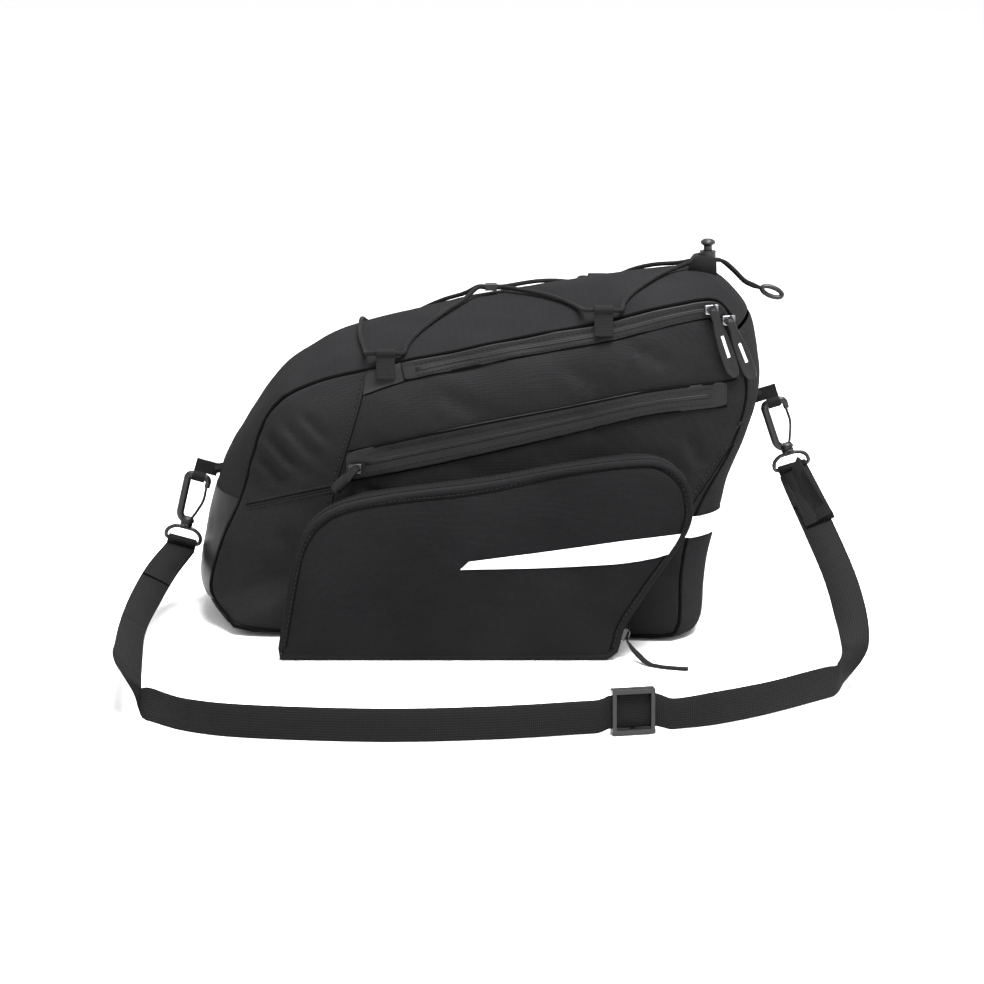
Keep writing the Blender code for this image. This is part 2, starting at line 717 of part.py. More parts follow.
def cord_path(tree, lock_hole, clip_hole):
    """The whole bungee, from the lock down the left side, round the front and back up the right side."""
    half = []
    for kind, x, y in CORD_ROUTE:
        x *= LENGTH / 2
        y *= -WIDTH / 2
        if kind == "lock":
            half += [lock_hole + Vector((LOCK_RADIUS * step, 0, 0)) for step in (0.0, -0.7, -1.4)]
        elif kind == "clip":
            half += [clip_hole + Vector((CLIP_LENGTH * step, 0, 0)) for step in (1.2, 0.6, 0.0, -0.6, -1.2)]
        elif kind == "loop":
            row = "rear_loop" if x > 0 else "front_loop"
            middle, _ = loop_frame(tree, row, -1)
            half += [middle + Vector((CORD_LOOP_WIDTH * step, 0, 0)) for step in (1.0, 0.55, 0.0, -0.55, -1.0)]
        else:
            half.append(Vector((x, y, top_z(tree, x, y) + CORD / 2 + 2 * CLEARANCE)))
    middle = Vector((half[-1].x, 0, top_z(tree, half[-1].x, 0) + CORD / 2 + 2 * CLEARANCE))
    return half + [middle] + [Vector((p.x, -p.y, p.z)) for p in reversed(half)]


def cord_curve(name, points, diameter):
    curve = bpy.data.curves.new(name, "CURVE")
    curve.dimensions = "3D"
    spline = curve.splines.new("POLY")
    spline.points.add(len(points) - 1)
    for place, point in zip(spline.points, points):
        place.co = (*point, 1)
    curve.bevel_depth = diameter / 2
    curve.bevel_resolution = 2
    curve.use_fill_caps = True
    obj = bpy.data.objects.new(name, curve)
    obj.data.materials.append(material(BUNGEE))
    bpy.context.scene.collection.objects.link(obj)
    return obj


def lifted(points, tree):
    """Moves points up off the top where the smooth curve dips into it."""
    raised = []
    for point in points:
        hit = tree.ray_cast(Vector((point.x, point.y, 2 * HEIGHT)), Vector((0, 0, -1)))
        if hit[0]:
            slope = 1 / max(hit[1].z, 0.4)
            point.z = max(point.z, hit[0].z + (CORD / 2 + 2 * CLEARANCE) * slope)
        raised.append(point)
    return raised


def cord_lock(tree):
    """The lock on the top's rear end: its seat, its barrel with a cross hole, and its sprung button."""
    ridge = gusset_point(ROW["lock"], 0)
    seat_height = 0.002
    seat_low = top_z(tree, ridge.x, 0) + CLEARANCE
    seat_size = Vector((LOCK_RADIUS * 2.6, LOCK_RADIUS * 2.2))
    corners = [(seat_size.x / 2 * sx, seat_size.y / 2 * sy) for sx, sy in ((-1, -1), (1, -1), (1, 1), (-1, 1))]
    slope = (gusset_point(ROW["lock"] + 0.1, 0) - gusset_point(ROW["lock"] - 0.1, 0)).normalized()
    seat = plate(corners, [], seat_height)
    seat_middle = Vector((ridge.x, 0, seat_low + seat_height / 2 + CLEARANCE))
    add_mesh("lock_seat", placed(seat, seat_middle, Vector((slope.x, 0, slope.z)), Vector((0, 1, 0))), WEB)
    base = seat_middle.z + seat_height / 2 + CLEARANCE + abs(slope.z) * seat_size.x / 2
    axis = Vector((ridge.x, 0, base))
    up = Vector((0, 0, 1))
    hole_height = CORD + 3 * CLEARANCE
    hole_middle = base + 0.0012 + hole_height / 2
    barrel = cylinder("lock_barrel", axis, axis + up * LOCK_HEIGHT, LOCK_RADIUS, PLASTIC)
    hole = [(-LOCK_RADIUS * 2, -hole_height / 2), (LOCK_RADIUS * 2, -hole_height / 2)]
    hole += [(LOCK_RADIUS * 2, hole_height / 2), (-LOCK_RADIUS * 2, hole_height / 2)]
    slot = plate(hole, [], 2 * CORD + 6 * CLEARANCE)
    slot_at = Vector((ridge.x, 0, hole_middle))
    drop(barrel, add_mesh("lock_slot", placed(slot, slot_at, Vector((1, 0, 0)), up), PLASTIC), "DIFFERENCE")
    stem = LOCK_RADIUS * 0.53
    bore_low = hole_middle + hole_height / 2 + 0.0007
    bore = cylinder("lock_bore", Vector((ridge.x, 0, bore_low)), axis + up * LOCK_HEIGHT * 2, stem + CLEARANCE, PLASTIC)
    drop(barrel, bore, "DIFFERENCE")
    stem_low = bore_low + LOCK_TRAVEL + CLEARANCE
    head_low = base + LOCK_HEIGHT + LOCK_TRAVEL + 3 * CLEARANCE
    profile = [
        (0, stem_low),
        (stem, stem_low),
        (stem, head_low),
        (LOCK_RADIUS * 0.92, head_low + BUTTON_HEAD * 0.3),
        (LOCK_RADIUS * 0.92, head_low + BUTTON_HEAD * 0.65),
        (LOCK_RADIUS * 0.55, head_low + BUTTON_HEAD),
        (0, head_low + BUTTON_HEAD),
    ]
    turned("lock_button", profile, axis, PLASTIC)
    return Vector((ridge.x, -(CORD / 2 + CLEARANCE), hole_middle))


def turned(name, profile, axis, finish, sides=16):
    """A round solid from a profile of (radius, height) points."""
    bm = bmesh.new()
    verts = [bm.verts.new((axis.x + radius, axis.y, height)) for radius, height in profile]
    edges = [bm.edges.new(pair) for pair in zip(verts, verts[1:])]
    geom = verts + edges
    turn = math.radians(360)
    bmesh.ops.spin(bm, geom=geom, cent=axis, axis=(0, 0, 1), angle=turn, steps=sides, use_merge=True)
    facing_out(bm)
    return add_mesh(name, bm, finish)


def cord_tails(lock_hole):
    """The cord's two free ends behind the lock, and the grip that joins them."""
    drops = ((-0.2, 0.0), (-0.08, 0.0), (0.05, 0.0), (0.2, 0.08), (0.4, 0.26), (0.6, 0.46), (0.8, 0.56), (0.97, 0.62))
    start = lock_hole + Vector((LOCK_RADIUS + 3 * CLEARANCE, 0, 0))
    end = None
    for side, name in ((1, "left"), (-1, "right")):
        points = []
        for along, down in drops:
            points.append(Vector((start.x + along * CORD_TAIL, start.y * side, start.z - down * CORD_TAIL)))
        cord_curve(f"cord_end_{name}", smooth_path(points, 12), CORD)
        end = points
    run = (end[-1] - end[-2]).normalized()
    head = Vector((end[-1].x, 0, end[-1].z)) + run * CLEARANCE
    side_way = Vector((0, 1, 0))
    length = 0.017
    half = CORD * 1.15
    outline = [(0, -half), (length * 0.35, -half * 1.5), (length * 0.8, -half * 1.5), (length, -half * 0.7)]
    outline += [(x, -y) for x, y in reversed(outline)]
    window = [(length * 0.45, -half * 0.75), (length * 0.8, -half * 0.75)]
    window += [(x, -y) for x, y in reversed(window)]
    bm = plate(outline, [window], CORD * 1.1)
    add_mesh("cord_grip", placed(bm, head, run, side_way), PLASTIC)


def zip_slider(name, place, along, out, tip, half_width):
    """A slider that sits on a zip at a place, and the pull that runs from its bridge to a tip."""
    length, height = 0.010, 0.0042
    body = [(-length / 2, -0.0034), (length / 2, -0.0042), (length / 2, 0.0042), (-length / 2, 0.0034)]
    bm = plate(body, [], height)
    add_mesh(f"{name}_slider", placed(bm, place + out * height / 2, along, out.cross(along)), METAL)
    bridge = place + out * height
    rise = abs((tip - bridge).normalized().dot(out))
    root = bridge + out * (CLEARANCE + PULL_THICKNESS / 2 + 0.004 * rise)
    reach = (tip - root).length
    outline = [(-0.004, -half_width * 0.55), (reach * 0.35, -half_width * 0.65), (reach * 0.9, -half_width)]
    outline += [(reach, -half_width * 0.7)]
    outline += [(x, -y) for x, y in reversed(outline)]
    bm = plate(outline, [circle(half_width * 0.45, 8, (reach * 0.86, 0))], PULL_THICKNESS)
    add_mesh(f"{name}_pull", placed(bm, root, tip - root, out.cross(tip - root)), PLASTIC)


def on_panel(tree, side, x, z):
    """A side panel's surface at a place given as shares of half the length and of the height, and its normal."""
    start = Vector((x * LENGTH / 2, side * WIDTH, z * HEIGHT))
    place, normal, _, _ = tree.ray_cast(start, Vector((0, -side, 0)))
    return place, normal if normal.y * side > 0 else -normal


def panel_slider(name, tree, side, start, end, half_width, lean=0.0):
    """A slider on a flap of a side panel, with its pull hanging down over the cloth."""
    place, out = on_panel(tree, side, *start)
    tip, tip_out = on_panel(tree, side, *end)
    over = FLAP_GAP + FLAP + 2 * CLEARANCE
    along = Vector((1, 0, 0))
    along = (along - out * along.dot(out)).normalized()
    zip_slider(name, place + out * over, along, out, tip + tip_out * (over + PULL_THICKNESS + lean), half_width)


def pouch_slider(name, side):
    """The slider low on a pouch's rear wall, and the ribbon that hangs from it to the ground."""
    a = Vector((POUCH[-3][0], POUCH[-3][1]))
    b = Vector((POUCH[-2][0], POUCH[-2][1]))
    start = -LENGTH / 2 + POUCH_SETBACK
    low = Vector((start + b.x * POUCH_LENGTH, 0, b.y * POUCH_HEIGHT))
    high = Vector((start + a.x * POUCH_LENGTH, 0, a.y * POUCH_HEIGHT))
    along = (high - low).normalized()
    out = Vector((along.z, 0, -along.x))
    depth = WIDTH / 2 + POUCH_DEPTH_BASE
    place = low.lerp(high, 0.62) + out * CLEARANCE
    place.y = side * (depth - 2.5 * POUCH_ROUNDING)
    body = [(-0.005, -0.0034), (0.005, -0.0042), (0.005, 0.0042), (-0.005, 0.0034)]
    height = 0.0042
    bm = plate(body, [], height)
    add_mesh(f"{name}_slider", placed(bm, place + out * height / 2, along, out.cross(along)), METAL)
    root = place + out * (height + 3 * CLEARANCE)
    across = Vector((0.35, side * -0.45, 0)).normalized() * POUCH_RIBBON / 2
    ground = WEBBING / 2 + CLEARANCE / 2
    path = [
        root + along * 0.003,
        root - along * 0.005 + out * 0.0012,
        Vector((root.x + 0.008, side * (depth + 0.004), root.z * 0.28)),
        Vector((root.x + 0.016, side * (depth + 0.013), ground)),
        Vector((root.x + 0.030, side * (depth + 0.020), ground)),
        Vector((root.x + 0.043, side * (depth + 0.023), ground)),
    ]
    side_ways = [Vector((0, POUCH_RIBBON / 2, 0)) * side] * 2
    for k in range(2, 6):
        run = path[min(k + 1, 5)] - path[k - 1]
        way = Vector((0, 0, 1)).cross(run).normalized() * POUCH_RIBBON / 2
        side_ways.append(way if way.y * side > 0 else -way)
    ribbon(f"{name}_ribbon", [(p - way, p + way) for p, way in zip(path, side_ways)], WEBBING * 0.8, WEB)


def buckle(rulings):
    """The strap's adjuster: a frame round the strap with a bar before it at each end and one behind in the middle."""
    near = [rulings[k] for k in (13, 14, 15)]
    middle = (near[1][0] + near[1][1]) / 2
    along = ((near[2][0] + near[2][1]) - (near[0][0] + near[0][1])).normalized()
    up = (near[1][1] - near[1][0]).normalized()
    out = along.cross(up).normalized()
    clear = STRAP_THICKNESS / 2 + CLEARANCE
    depth = clear + BUCKLE_BAR
    high = STRAP_WIDTH / 2 + 2 * CLEARANCE
    half = BUCKLE_LENGTH / 2
    shy = BUCKLE_BAR * 0.08
    inside = high + BUCKLE_BAR / 2
    bars = {
        "low_rail": (-half, half, -high - BUCKLE_BAR, -high, -depth, depth),
        "high_rail": (-half, half, high, high + BUCKLE_BAR, -depth, depth),
        "first_bar": (-half + shy, -half + BUCKLE_BAR, -inside, inside, clear, depth - shy),
        "last_bar": (half - BUCKLE_BAR, half - shy, -inside, inside, clear, depth - shy),
        "back_bar": (-BUCKLE_BAR / 2, BUCKLE_BAR / 2, -inside, inside, shy - depth, -clear),
    }
    body = None
    for name, (x0, x1, y0, y1, z0, z1) in bars.items():
        bar = plate([(x0, y0), (x1, y0), (x1, y1), (x0, y1)], [], z1 - z0)
        bar = placed(bar, middle + out * (z0 + z1) / 2, along, up)
        if body is None:
            body = add_mesh("strap_buckle", bar, PLASTIC)
        else:
            drop(body, add_mesh(f"buckle_{name}", bar, PLASTIC), "UNION")


def main():
    clear_scene()
    panels = {-1: side_panel("left_panel", -1), 1: side_panel("right_panel", 1)}
    top = gusset("top_gusset", "nose_under", "rear_top")
    base = gusset("base_gusset", "rear_top", "nose_under")
    skin = skin_tree([*panels.values(), top, base])
    for side, word in ((-1, "left"), (1, "right")):
        draped_strip(f"main_zip_{word}", skin, side, main_zip_pairs(), WEB)
        draped_strip(f"side_zip_{word}", skin, side, side_zip_pairs(), WEB)
        pouch(f"{word}_pouch", skin, side)
        panel_slider(f"side_zip_{word}", skin, side, (-0.415, 0.486), (-0.480, 0.425), PULL_WIDTH * 0.4, 0.008)
        pouch_slider(f"{word}_pouch", side)
        for row, place in (("front_loop", "front"), ("rear_loop", "rear")):
            middle, down = loop_frame(skin, row, side)
            hole = CORD / 2 + CLEARANCE * 1.5
            webbing_loop(f"{place}_cord_loop_{word}", middle, Vector((1, 0, 0)), down, hole, CORD_LOOP_WIDTH, CORD_LOOP_TAIL)
    for name, start, end in (("fore", (0.800, 0.913), (0.885, 0.728)), ("aft", (0.858, 0.883), (0.935, 0.718))):
        panel_slider(f"main_zip_{name}", skin, -1, start, end, PULL_WIDTH / 2)
    lock_hole = cord_lock(skin)
    clip_x = 0.05 * LENGTH / 2
    clip_z = top_z(skin, clip_x, 0) + CORD / 2 + 0.0026
    clip_hole = Vector((clip_x, -(CORD / 2 + 2 * CLEARANCE), clip_z))
    half_width = CORD + 5 * CLEARANCE
    outline = [(-half_width, -0.0022), (half_width, -0.0022), (half_width, 0.0026), (-half_width, 0.0026)]
    holes = [circle(CORD / 2 + CLEARANCE, 10, (clip_hole.y * side, 0)) for side in (-1, 1)]
    clip = plate(outline, holes, CLIP_LENGTH)
    add_mesh("cord_clip", placed(clip, Vector((clip_x, 0, clip_z)), Vector((0, 1, 0)), Vector((0, 0, 1))), PLASTIC)
    route = cord_path(skin, lock_hole, clip_hole)
    cord_curve("bungee_cord", lifted(curve_through(route, 2), skin), CORD)
    cord_tails(lock_hole)
    front_bar = snap_hook("front")
    rear_bar = snap_hook("rear")
    rulings = strap_band(front_bar, rear_bar)
    ribbon("shoulder_strap", rulings, STRAP_THICKNESS, WEB)
    for end, (bar, across, away) in (("front", front_bar), ("rear", rear_bar)):
        hook_tab(end, skin)
        hole = EYE_WIRE / 2 + CLEARANCE
        webbing_loop(f"{end}_strap_end", bar, across, away, hole, STRAP_WIDTH - 2 * CLEARANCE, hole + 2.2 * WEBBING)
    buckle(rulings)


main()
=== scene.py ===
# %% [markdown]
# A bicycle trunk bag, dressed for its photograph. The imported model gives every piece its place
# and size. Each cell below adds the cloth, the seams, the zips and the fittings that the plain
# solids leave out, and says how a maker would think about the piece first.

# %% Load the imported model
import math

import bmesh
import bpy
from mathutils import Matrix, Vector, noise
from mathutils.bvhtree import BVHTree


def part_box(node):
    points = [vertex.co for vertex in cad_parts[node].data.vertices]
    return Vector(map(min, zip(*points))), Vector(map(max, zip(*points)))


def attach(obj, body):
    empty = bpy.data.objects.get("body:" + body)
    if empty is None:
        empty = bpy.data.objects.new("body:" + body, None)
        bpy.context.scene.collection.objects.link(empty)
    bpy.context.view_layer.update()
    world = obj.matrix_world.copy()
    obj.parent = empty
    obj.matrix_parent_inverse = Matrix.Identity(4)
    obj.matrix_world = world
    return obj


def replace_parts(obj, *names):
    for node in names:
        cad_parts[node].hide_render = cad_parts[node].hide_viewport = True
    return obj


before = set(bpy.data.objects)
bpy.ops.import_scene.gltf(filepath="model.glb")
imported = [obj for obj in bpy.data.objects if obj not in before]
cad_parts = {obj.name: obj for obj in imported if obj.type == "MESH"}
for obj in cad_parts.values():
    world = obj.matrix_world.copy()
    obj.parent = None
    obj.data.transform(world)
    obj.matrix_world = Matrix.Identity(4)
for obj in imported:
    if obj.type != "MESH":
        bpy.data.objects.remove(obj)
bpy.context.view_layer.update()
SHARE_X, SHARE_Y, SHARE_Z = 0.217, 0.088, 0.271  # half the body's length, half its width and its height

# %% [markdown]
# The photograph looks straight at the bag's left side from a little above, through a long lens. A
# camera 2.2 metres away with a 103 mm lens keeps the near pouch from growing too large against
# the body.

# %% Camera
camera = bpy.data.objects.new("camera", bpy.data.cameras.new("camera"))
camera.data.lens = 103.17
camera.data.sensor_width = 36
camera.data.clip_end = 50
aim = Vector((0.0116, 0, 0.092))
tilt = math.radians(14)
camera.location = aim + 2.2 * Vector((0, -math.cos(tilt), math.sin(tilt)))
camera.rotation_euler = (aim - camera.location).to_track_quat("-Z", "Y").to_euler()
bpy.context.scene.collection.objects.link(camera)
bpy.context.scene.camera = camera
print("camera at", tuple(round(v, 3) for v in camera.location))

# %% [markdown]
# Black cloth shows its shape only through soft highlights. One large panel of light overhead
# brightens the top. Two faint ones, at the front left and the rear right, rake across the weave,
# and a white world fills the shadows and the background.

# %% Light and floor
def softbox(name, place, size, watts, target=aim):
    lamp = bpy.data.objects.new(name, bpy.data.lights.new(name, "AREA"))
    lamp.data.shape = "RECTANGLE"
    lamp.data.size, lamp.data.size_y = size
    lamp.data.energy = watts
    lamp.location = place
    lamp.rotation_euler = (target - Vector(place)).to_track_quat("-Z", "Y").to_euler()
    bpy.context.scene.collection.objects.link(lamp)
    return lamp


softbox("overhead", (0.35, -0.45, 2.0), (1.4, 1.0), 140)
softbox("front_left", (-1.4, -1.3, 1.5), (0.6, 0.6), 3)
softbox("rear_right", (1.7, 0.3, 1.3), (0.7, 1.0), 4)
bpy.context.scene.view_settings.view_transform = "Standard"


def linear(hex_colour):
    """An sRGB hex colour as the linear values that a shader takes."""
    parts = [int(hex_colour[i : i + 2], 16) / 255 for i in (1, 3, 5)]
    return (*[p / 12.92 if p <= 0.04045 else ((p + 0.055) / 1.055) ** 2.4 for p in parts], 1.0)


def add_node(material, kind, settings=None, links=None):
    """Adds a shader node, sets its sockets and properties, and links sources into it."""
    node = material.node_tree.nodes.new("ShaderNode" + kind)
    for name, value in (settings or {}).items():
        if isinstance(name, int) or name in node.inputs:
            node.inputs[name].default_value = value
        else:
            setattr(node, name, value)
    for name, source in (links or {}).items():
        material.node_tree.links.new(source, node.inputs[name])
    return node


def new_material(name, colour, roughness, sockets=None):
    """A material whose Principled shader has these plain values. Patterns are linked in afterwards."""
    material = bpy.data.materials.new(name)
    material.use_nodes = True
    shader = material.node_tree.nodes["Principled BSDF"]
    shader.inputs["Base Color"].default_value = linear(colour)
    shader.inputs["Roughness"].default_value = roughness
    for socket, value in (sockets or {}).items():
        shader.inputs[socket].default_value = value
    return material, shader


world = bpy.data.worlds.new("studio")
world.use_nodes = True
world.node_tree.nodes["Background"].inputs["Color"].default_value = (1, 1, 1, 1)
world.node_tree.nodes["Background"].inputs["Strength"].default_value = 1.0
bpy.context.scene.world = world
bm = bmesh.new()
bmesh.ops.create_grid(bm, x_segments=1, y_segments=1, size=12)
floor_mesh = bpy.data.meshes.new("floor")
bm.to_mesh(floor_mesh)
bm.free()
floor = bpy.data.objects.new("floor", floor_mesh)
floor.location.z = -0.0005
paper, _ = new_material("studio_paper", "#fafafa", 0.9)
floor_mesh.materials.append(paper)
bpy.context.scene.collection.objects.link(floor)

# %% [markdown]
# The side cloth is a plain-weave nylon: threads about half a millimetre apart, dyed black, with a
# dull sheen. A thread that fine would vanish in the picture, so the weave is drawn at 1.1 mm.
# Bands that run along X, Y and Z are added up, so that the cloth shows threads both ways
# whichever way it faces. Dyed nylon yarn scatters light deep between its threads, so its specular
# level is set well under that of a smooth plastic. The pouches take a darker, less glossy copy of
# the same cloth, as painted shade on the pouch fronts.

# %% Side cloth
def bands(material, vector, direction, pitch):
    """Height of a row of threads, this many metres apart, across one axis."""
    settings = {"bands_direction": direction, "Scale": math.tau / 20 / pitch, "Distortion": 0.0}
    return add_node(material, "TexWave", settings, {"Vector": vector}).outputs["Fac"]


def total(material, first, second, operation="ADD"):
    return add_node(material, "Math", {"operation": operation}, {0: first, 1: second}).outputs["Value"]


def tinted(material, shader, vector, dark, light, scale):
    """Mixes two near shades in soft clouds, as dye and handling leave on cloth."""
    cloud = add_node(material, "TexNoise", {"Scale": scale, "Detail": 4.0}, {"Vector": vector}).outputs["Fac"]
    ramp = add_node(material, "ValToRGB", links={"Fac": cloud})
    ramp.color_ramp.elements[0].position = 0.35
    ramp.color_ramp.elements[0].color = linear(dark)
    ramp.color_ramp.elements[1].position = 0.65
    ramp.color_ramp.elements[1].color = linear(light)
    material.node_tree.links.new(ramp.outputs["Color"], shader.inputs["Base Color"])
    return cloud


def raised(material, shader, height, distance, strength=1.0):
    bump = add_node(material, "Bump", {"Distance": distance, "Strength": strength}, {"Height": height})
    material.node_tree.links.new(bump.outputs["Normal"], shader.inputs["Normal"])


def dull(level, sheen):
    return {"Specular IOR Level": level, "Sheen Weight": sheen, "Sheen Roughness": 0.5}


def woven_nylon(name, dark, light, pitch, relief, roughness, level, sheen, turn=0.0):
    material, shader = new_material(name, light, roughness, dull(level, sheen))
    place = add_node(material, "TexCoord").outputs["Object"]
    if turn:
        angles = {"Rotation": (0, math.radians(turn), 0)}
        place = add_node(material, "Mapping", angles, {"Vector": place}).outputs["Vector"]
    threads = total(material, bands(material, place, "X", pitch), bands(material, place, "Z", pitch))
    threads = total(material, threads, bands(material, place, "Y", pitch))
    slubs = add_node(material, "TexNoise", {"Scale": 900.0, "Detail": 2.0}, {"Vector": place}).outputs["Fac"]
    raised(material, shader, total(material, threads, slubs), relief)
    tinted(material, shader, place, dark, light, 14.0)
    return material


side_cloth = woven_nylon("plain_weave_nylon", "#161617", "#1c1c1d", 0.0011, 0.00012, 0.88, 0.08, 0.01)
# The pouch cloth is the side cloth made darker and less glossy: painted shade.
shaded_pouch_cloth = woven_nylon("painted_shade_plain_weave_nylon", "#111112", "#151516", 0.0011, 0.00012, 0.88, 0.05, 0.0)
print("made", side_cloth.name)

# %% [markdown]
# The top and the front are ripstop: a finer cloth with a thicker thread every few millimetres,
# which stops a tear. The strip bends from front to top, so its grid follows an attribute that
# holds the distance along the strip.

# %% Ripstop cloth
def ripstop(name, dark, light, cell, relief, roughness, level, sheen):
    material, shader = new_material(name, light, roughness, dull(level, sheen))
    place = add_node(material, "TexCoord").outputs["Object"]
    split = add_node(material, "SeparateXYZ", links={0: place})
    along = add_node(material, "Attribute", {"attribute_name": "along"}).outputs["Fac"]
    flat = add_node(material, "CombineXYZ", links={"X": along, "Y": split.outputs["Y"]}).outputs["Vector"]
    height = None
    for direction in ("X", "Y"):
        thick = bands(material, flat, direction, cell)
        thick = add_node(material, "Math", {"operation": "POWER", 1: 14.0}, {0: thick}).outputs["Value"]
        fine = bands(material, flat, direction, cell / 5)
        fine = add_node(material, "Math", {"operation": "MULTIPLY", 1: 0.35}, {0: fine}).outputs["Value"]
        threads = total(material, thick, fine)
        height = threads if height is None else total(material, height, threads)
    raised(material, shader, height, relief)
    tinted(material, shader, place, dark, light, 16.0)
    return material


top_cloth = ripstop("ripstop_nylon", "#171718", "#1c1c1d", 0.0055, 0.00012, 0.92, 0.04, 0.0)
print("made", top_cloth.name)

# %% [markdown]
# Zip flaps and the nose guard are cloth with a thin rubbery coat, webbing is thick yarn in close
# ribs, and the cord wears a braided sleeve. The strap carries a UV map in metres, so that its
# ribs follow every bend.

# %% Coated cloth, webbing and braid
def coated(name, colour, roughness, level, coat):
    gloss = {"Specular IOR Level": level, "Coat Weight": coat}
    material, shader = new_material(name, colour, roughness, gloss)
    shader.inputs["Coat Roughness"].default_value = 0.35
    place = add_node(material, "TexCoord").outputs["Object"]
    grain = add_node(material, "TexNoise", {"Scale": 1500.0, "Detail": 3.0}, {"Vector": place}).outputs["Fac"]
    raised(material, shader, grain, 0.00005)
    return material


def ribbed(name, colour, rib, column, relief, roughness):
    """Yarn in ribs this far apart along the piece, crossed by columns this far apart across it."""
    material, shader = new_material(name, colour, roughness, dull(0.07, 0.01))
    laid = add_node(material, "TexCoord").outputs["UV"]
    height = total(material, bands(material, laid, "X", rib), bands(material, laid, "Y", column), "MULTIPLY")
    # The colour runs from near black in the valleys between ribs to the yarn's own colour on their tops:
    # painted shade.
    shade = add_node(material, "ValToRGB", links={"Fac": height})
    shade.color_ramp.elements[0].color = linear("#0c0c0d")
    shade.color_ramp.elements[1].color = linear(colour)
    material.node_tree.links.new(shade.outputs["Color"], shader.inputs["Base Color"])
    raised(material, shader, height, relief)
    return material


flap_coat = coated("coated_zip_tape", "#111112", 0.55, 0.2, 0.03)
nose_coat = coated("coated_nose_cloth", "#0e0e0f", 0.45, 0.12, 0.01)
webbing = ribbed("nylon_webbing", "#1e1e1f", 0.0014, 0.0018, 0.0002, 0.7)
tab_weave = woven_nylon("close_woven_tape", "#0d0d0e", "#131314", 0.0009, 0.00008, 0.8, 0.12, 0.01)
braid = woven_nylon("braided_sleeve", "#080809", "#0d0d0e", 0.0012, 0.0003, 0.7, 0.16, 0.01, turn=45.0)
# Near-black strips laid along seams, grooves and flap edges are painted shade for the valleys there.
groove_shade, _ = new_material("painted_groove_shade", "#060606", 0.95, dull(0.05, 0.0))
stitch_thread, _ = new_material("polyester_thread", "#131314", 0.7, dull(0.2, 0.0))
print("made", flap_coat.name, nose_coat.name, webbing.name, braid.name)

# %% [markdown]
# The buckle, hooks and cord lock are moulded acetal. Its skin is smooth but slightly dull, and
# the mould leaves a faint texture. Gates, rings and most sliders are steel with a black finish,
# which glints along its edges. The main zip's sliders are zinc with a bright nickel plating. The
# reflective trim is a film of glass beads, which looks plain white in even light.

# %% Plastic, metal and reflective film
def moulded(name, colour, roughness, grain, level=0.4):
    material, shader = new_material(name, colour, roughness, {"Specular IOR Level": level})
    place = add_node(material, "TexCoord").outputs["Object"]
    skin = add_node(material, "TexNoise", {"Scale": 1100.0, "Detail": 3.0}, {"Vector": place}).outputs["Fac"]
    raised(material, shader, skin, grain)
    return material


acetal = moulded("moulded_acetal", "#0f0f10", 0.38, 0.00003, 0.35)
pull_rubber = moulded("moulded_rubber", "#0c0c0d", 0.5, 0.00005, 0.25)
black_steel = moulded("blackened_steel", "#141415", 0.3, 0.00001, 0.5)
bright_steel = moulded("nickel_plated_zinc", "#8f8f92", 0.24, 0.00001, 0.5)
bright_steel.node_tree.nodes["Principled BSDF"].inputs["Metallic"].default_value = 0.9
black_steel.node_tree.nodes["Principled BSDF"].inputs["Metallic"].default_value = 0.1
film = moulded("glass_bead_film", "#fbfbfa", 0.5, 0.00002)
print("made", acetal.name, black_steel.name, film.name)

# %% [markdown]
# Cloth is never perfectly smooth. Every soft piece is pushed in and out by one shared field, so
# that pieces sewn together move together. It has three parts: slow swells, a full roll between
# the two zips, where the padding pushes out, and ten creases. Four creases lie at the front
# shoulder, where the panel turns round the corner, and six further along the side.

# %% One field of folds
CREASES = [
    # x, z at one end, x, z at the other, half width and depth, in metres
    (-0.160, 0.156, -0.131, 0.126, 0.0046, 0.0038),
    (-0.146, 0.165, -0.117, 0.133, 0.0046, 0.0024),
    (-0.165, 0.138, -0.143, 0.113, 0.0050, 0.0031),
    (-0.132, 0.172, -0.109, 0.148, 0.0040, 0.0019),
    (0.115, 0.222, 0.146, 0.205, 0.0052, 0.0034),
    (0.060, 0.206, 0.094, 0.190, 0.0060, 0.0018),
    (-0.088, 0.118, -0.060, 0.104, 0.0042, 0.0026),
    (-0.030, 0.188, 0.004, 0.170, 0.0070, 0.0018),
    (0.158, 0.160, 0.170, 0.128, 0.0052, 0.0026),
    (-0.150, 0.082, -0.128, 0.050, 0.0070, 0.0026),
]


def smooth_step(value):
    value = max(0.0, min(1.0, value))
    return value * value * (3 - 2 * value)


def crease_depth(place):
    depth = 0.0
    for x0, z0, x1, z1, width, most in CREASES:
        run = Vector((x1 - x0, z1 - z0))
        offset = Vector((place.x - x0, place.z - z0))
        share = max(0.0, min(1.0, offset.dot(run) / run.length_squared))
        away = (offset - run * share).length
        side = offset.x * run.y - offset.y * run.x
        fade = smooth_step(share / 0.3) * smooth_step((1 - share) / 0.3)
        valley = math.exp(-((away / width) ** 2))
        lip = 0.55 * math.exp(-(((away - 1.7 * width) / width) ** 2)) if side > 0 else 0.0
        depth += most * (fade * 0.8 + 0.2) * (lip - valley)
    return depth


def roll_between_zips(place):
    low = 0.1589 + 0.191 * place.x
    high = 0.2063 + 0.215 * place.x
    share = (place.z - low) / (high - low)
    if not 0 < share < 1:
        return 0.0
    ends = smooth_step((place.x + 0.095) / 0.03) * smooth_step((0.195 - place.x) / 0.03)
    return 0.0042 * ends * (4 * share * (1 - share)) ** 0.7


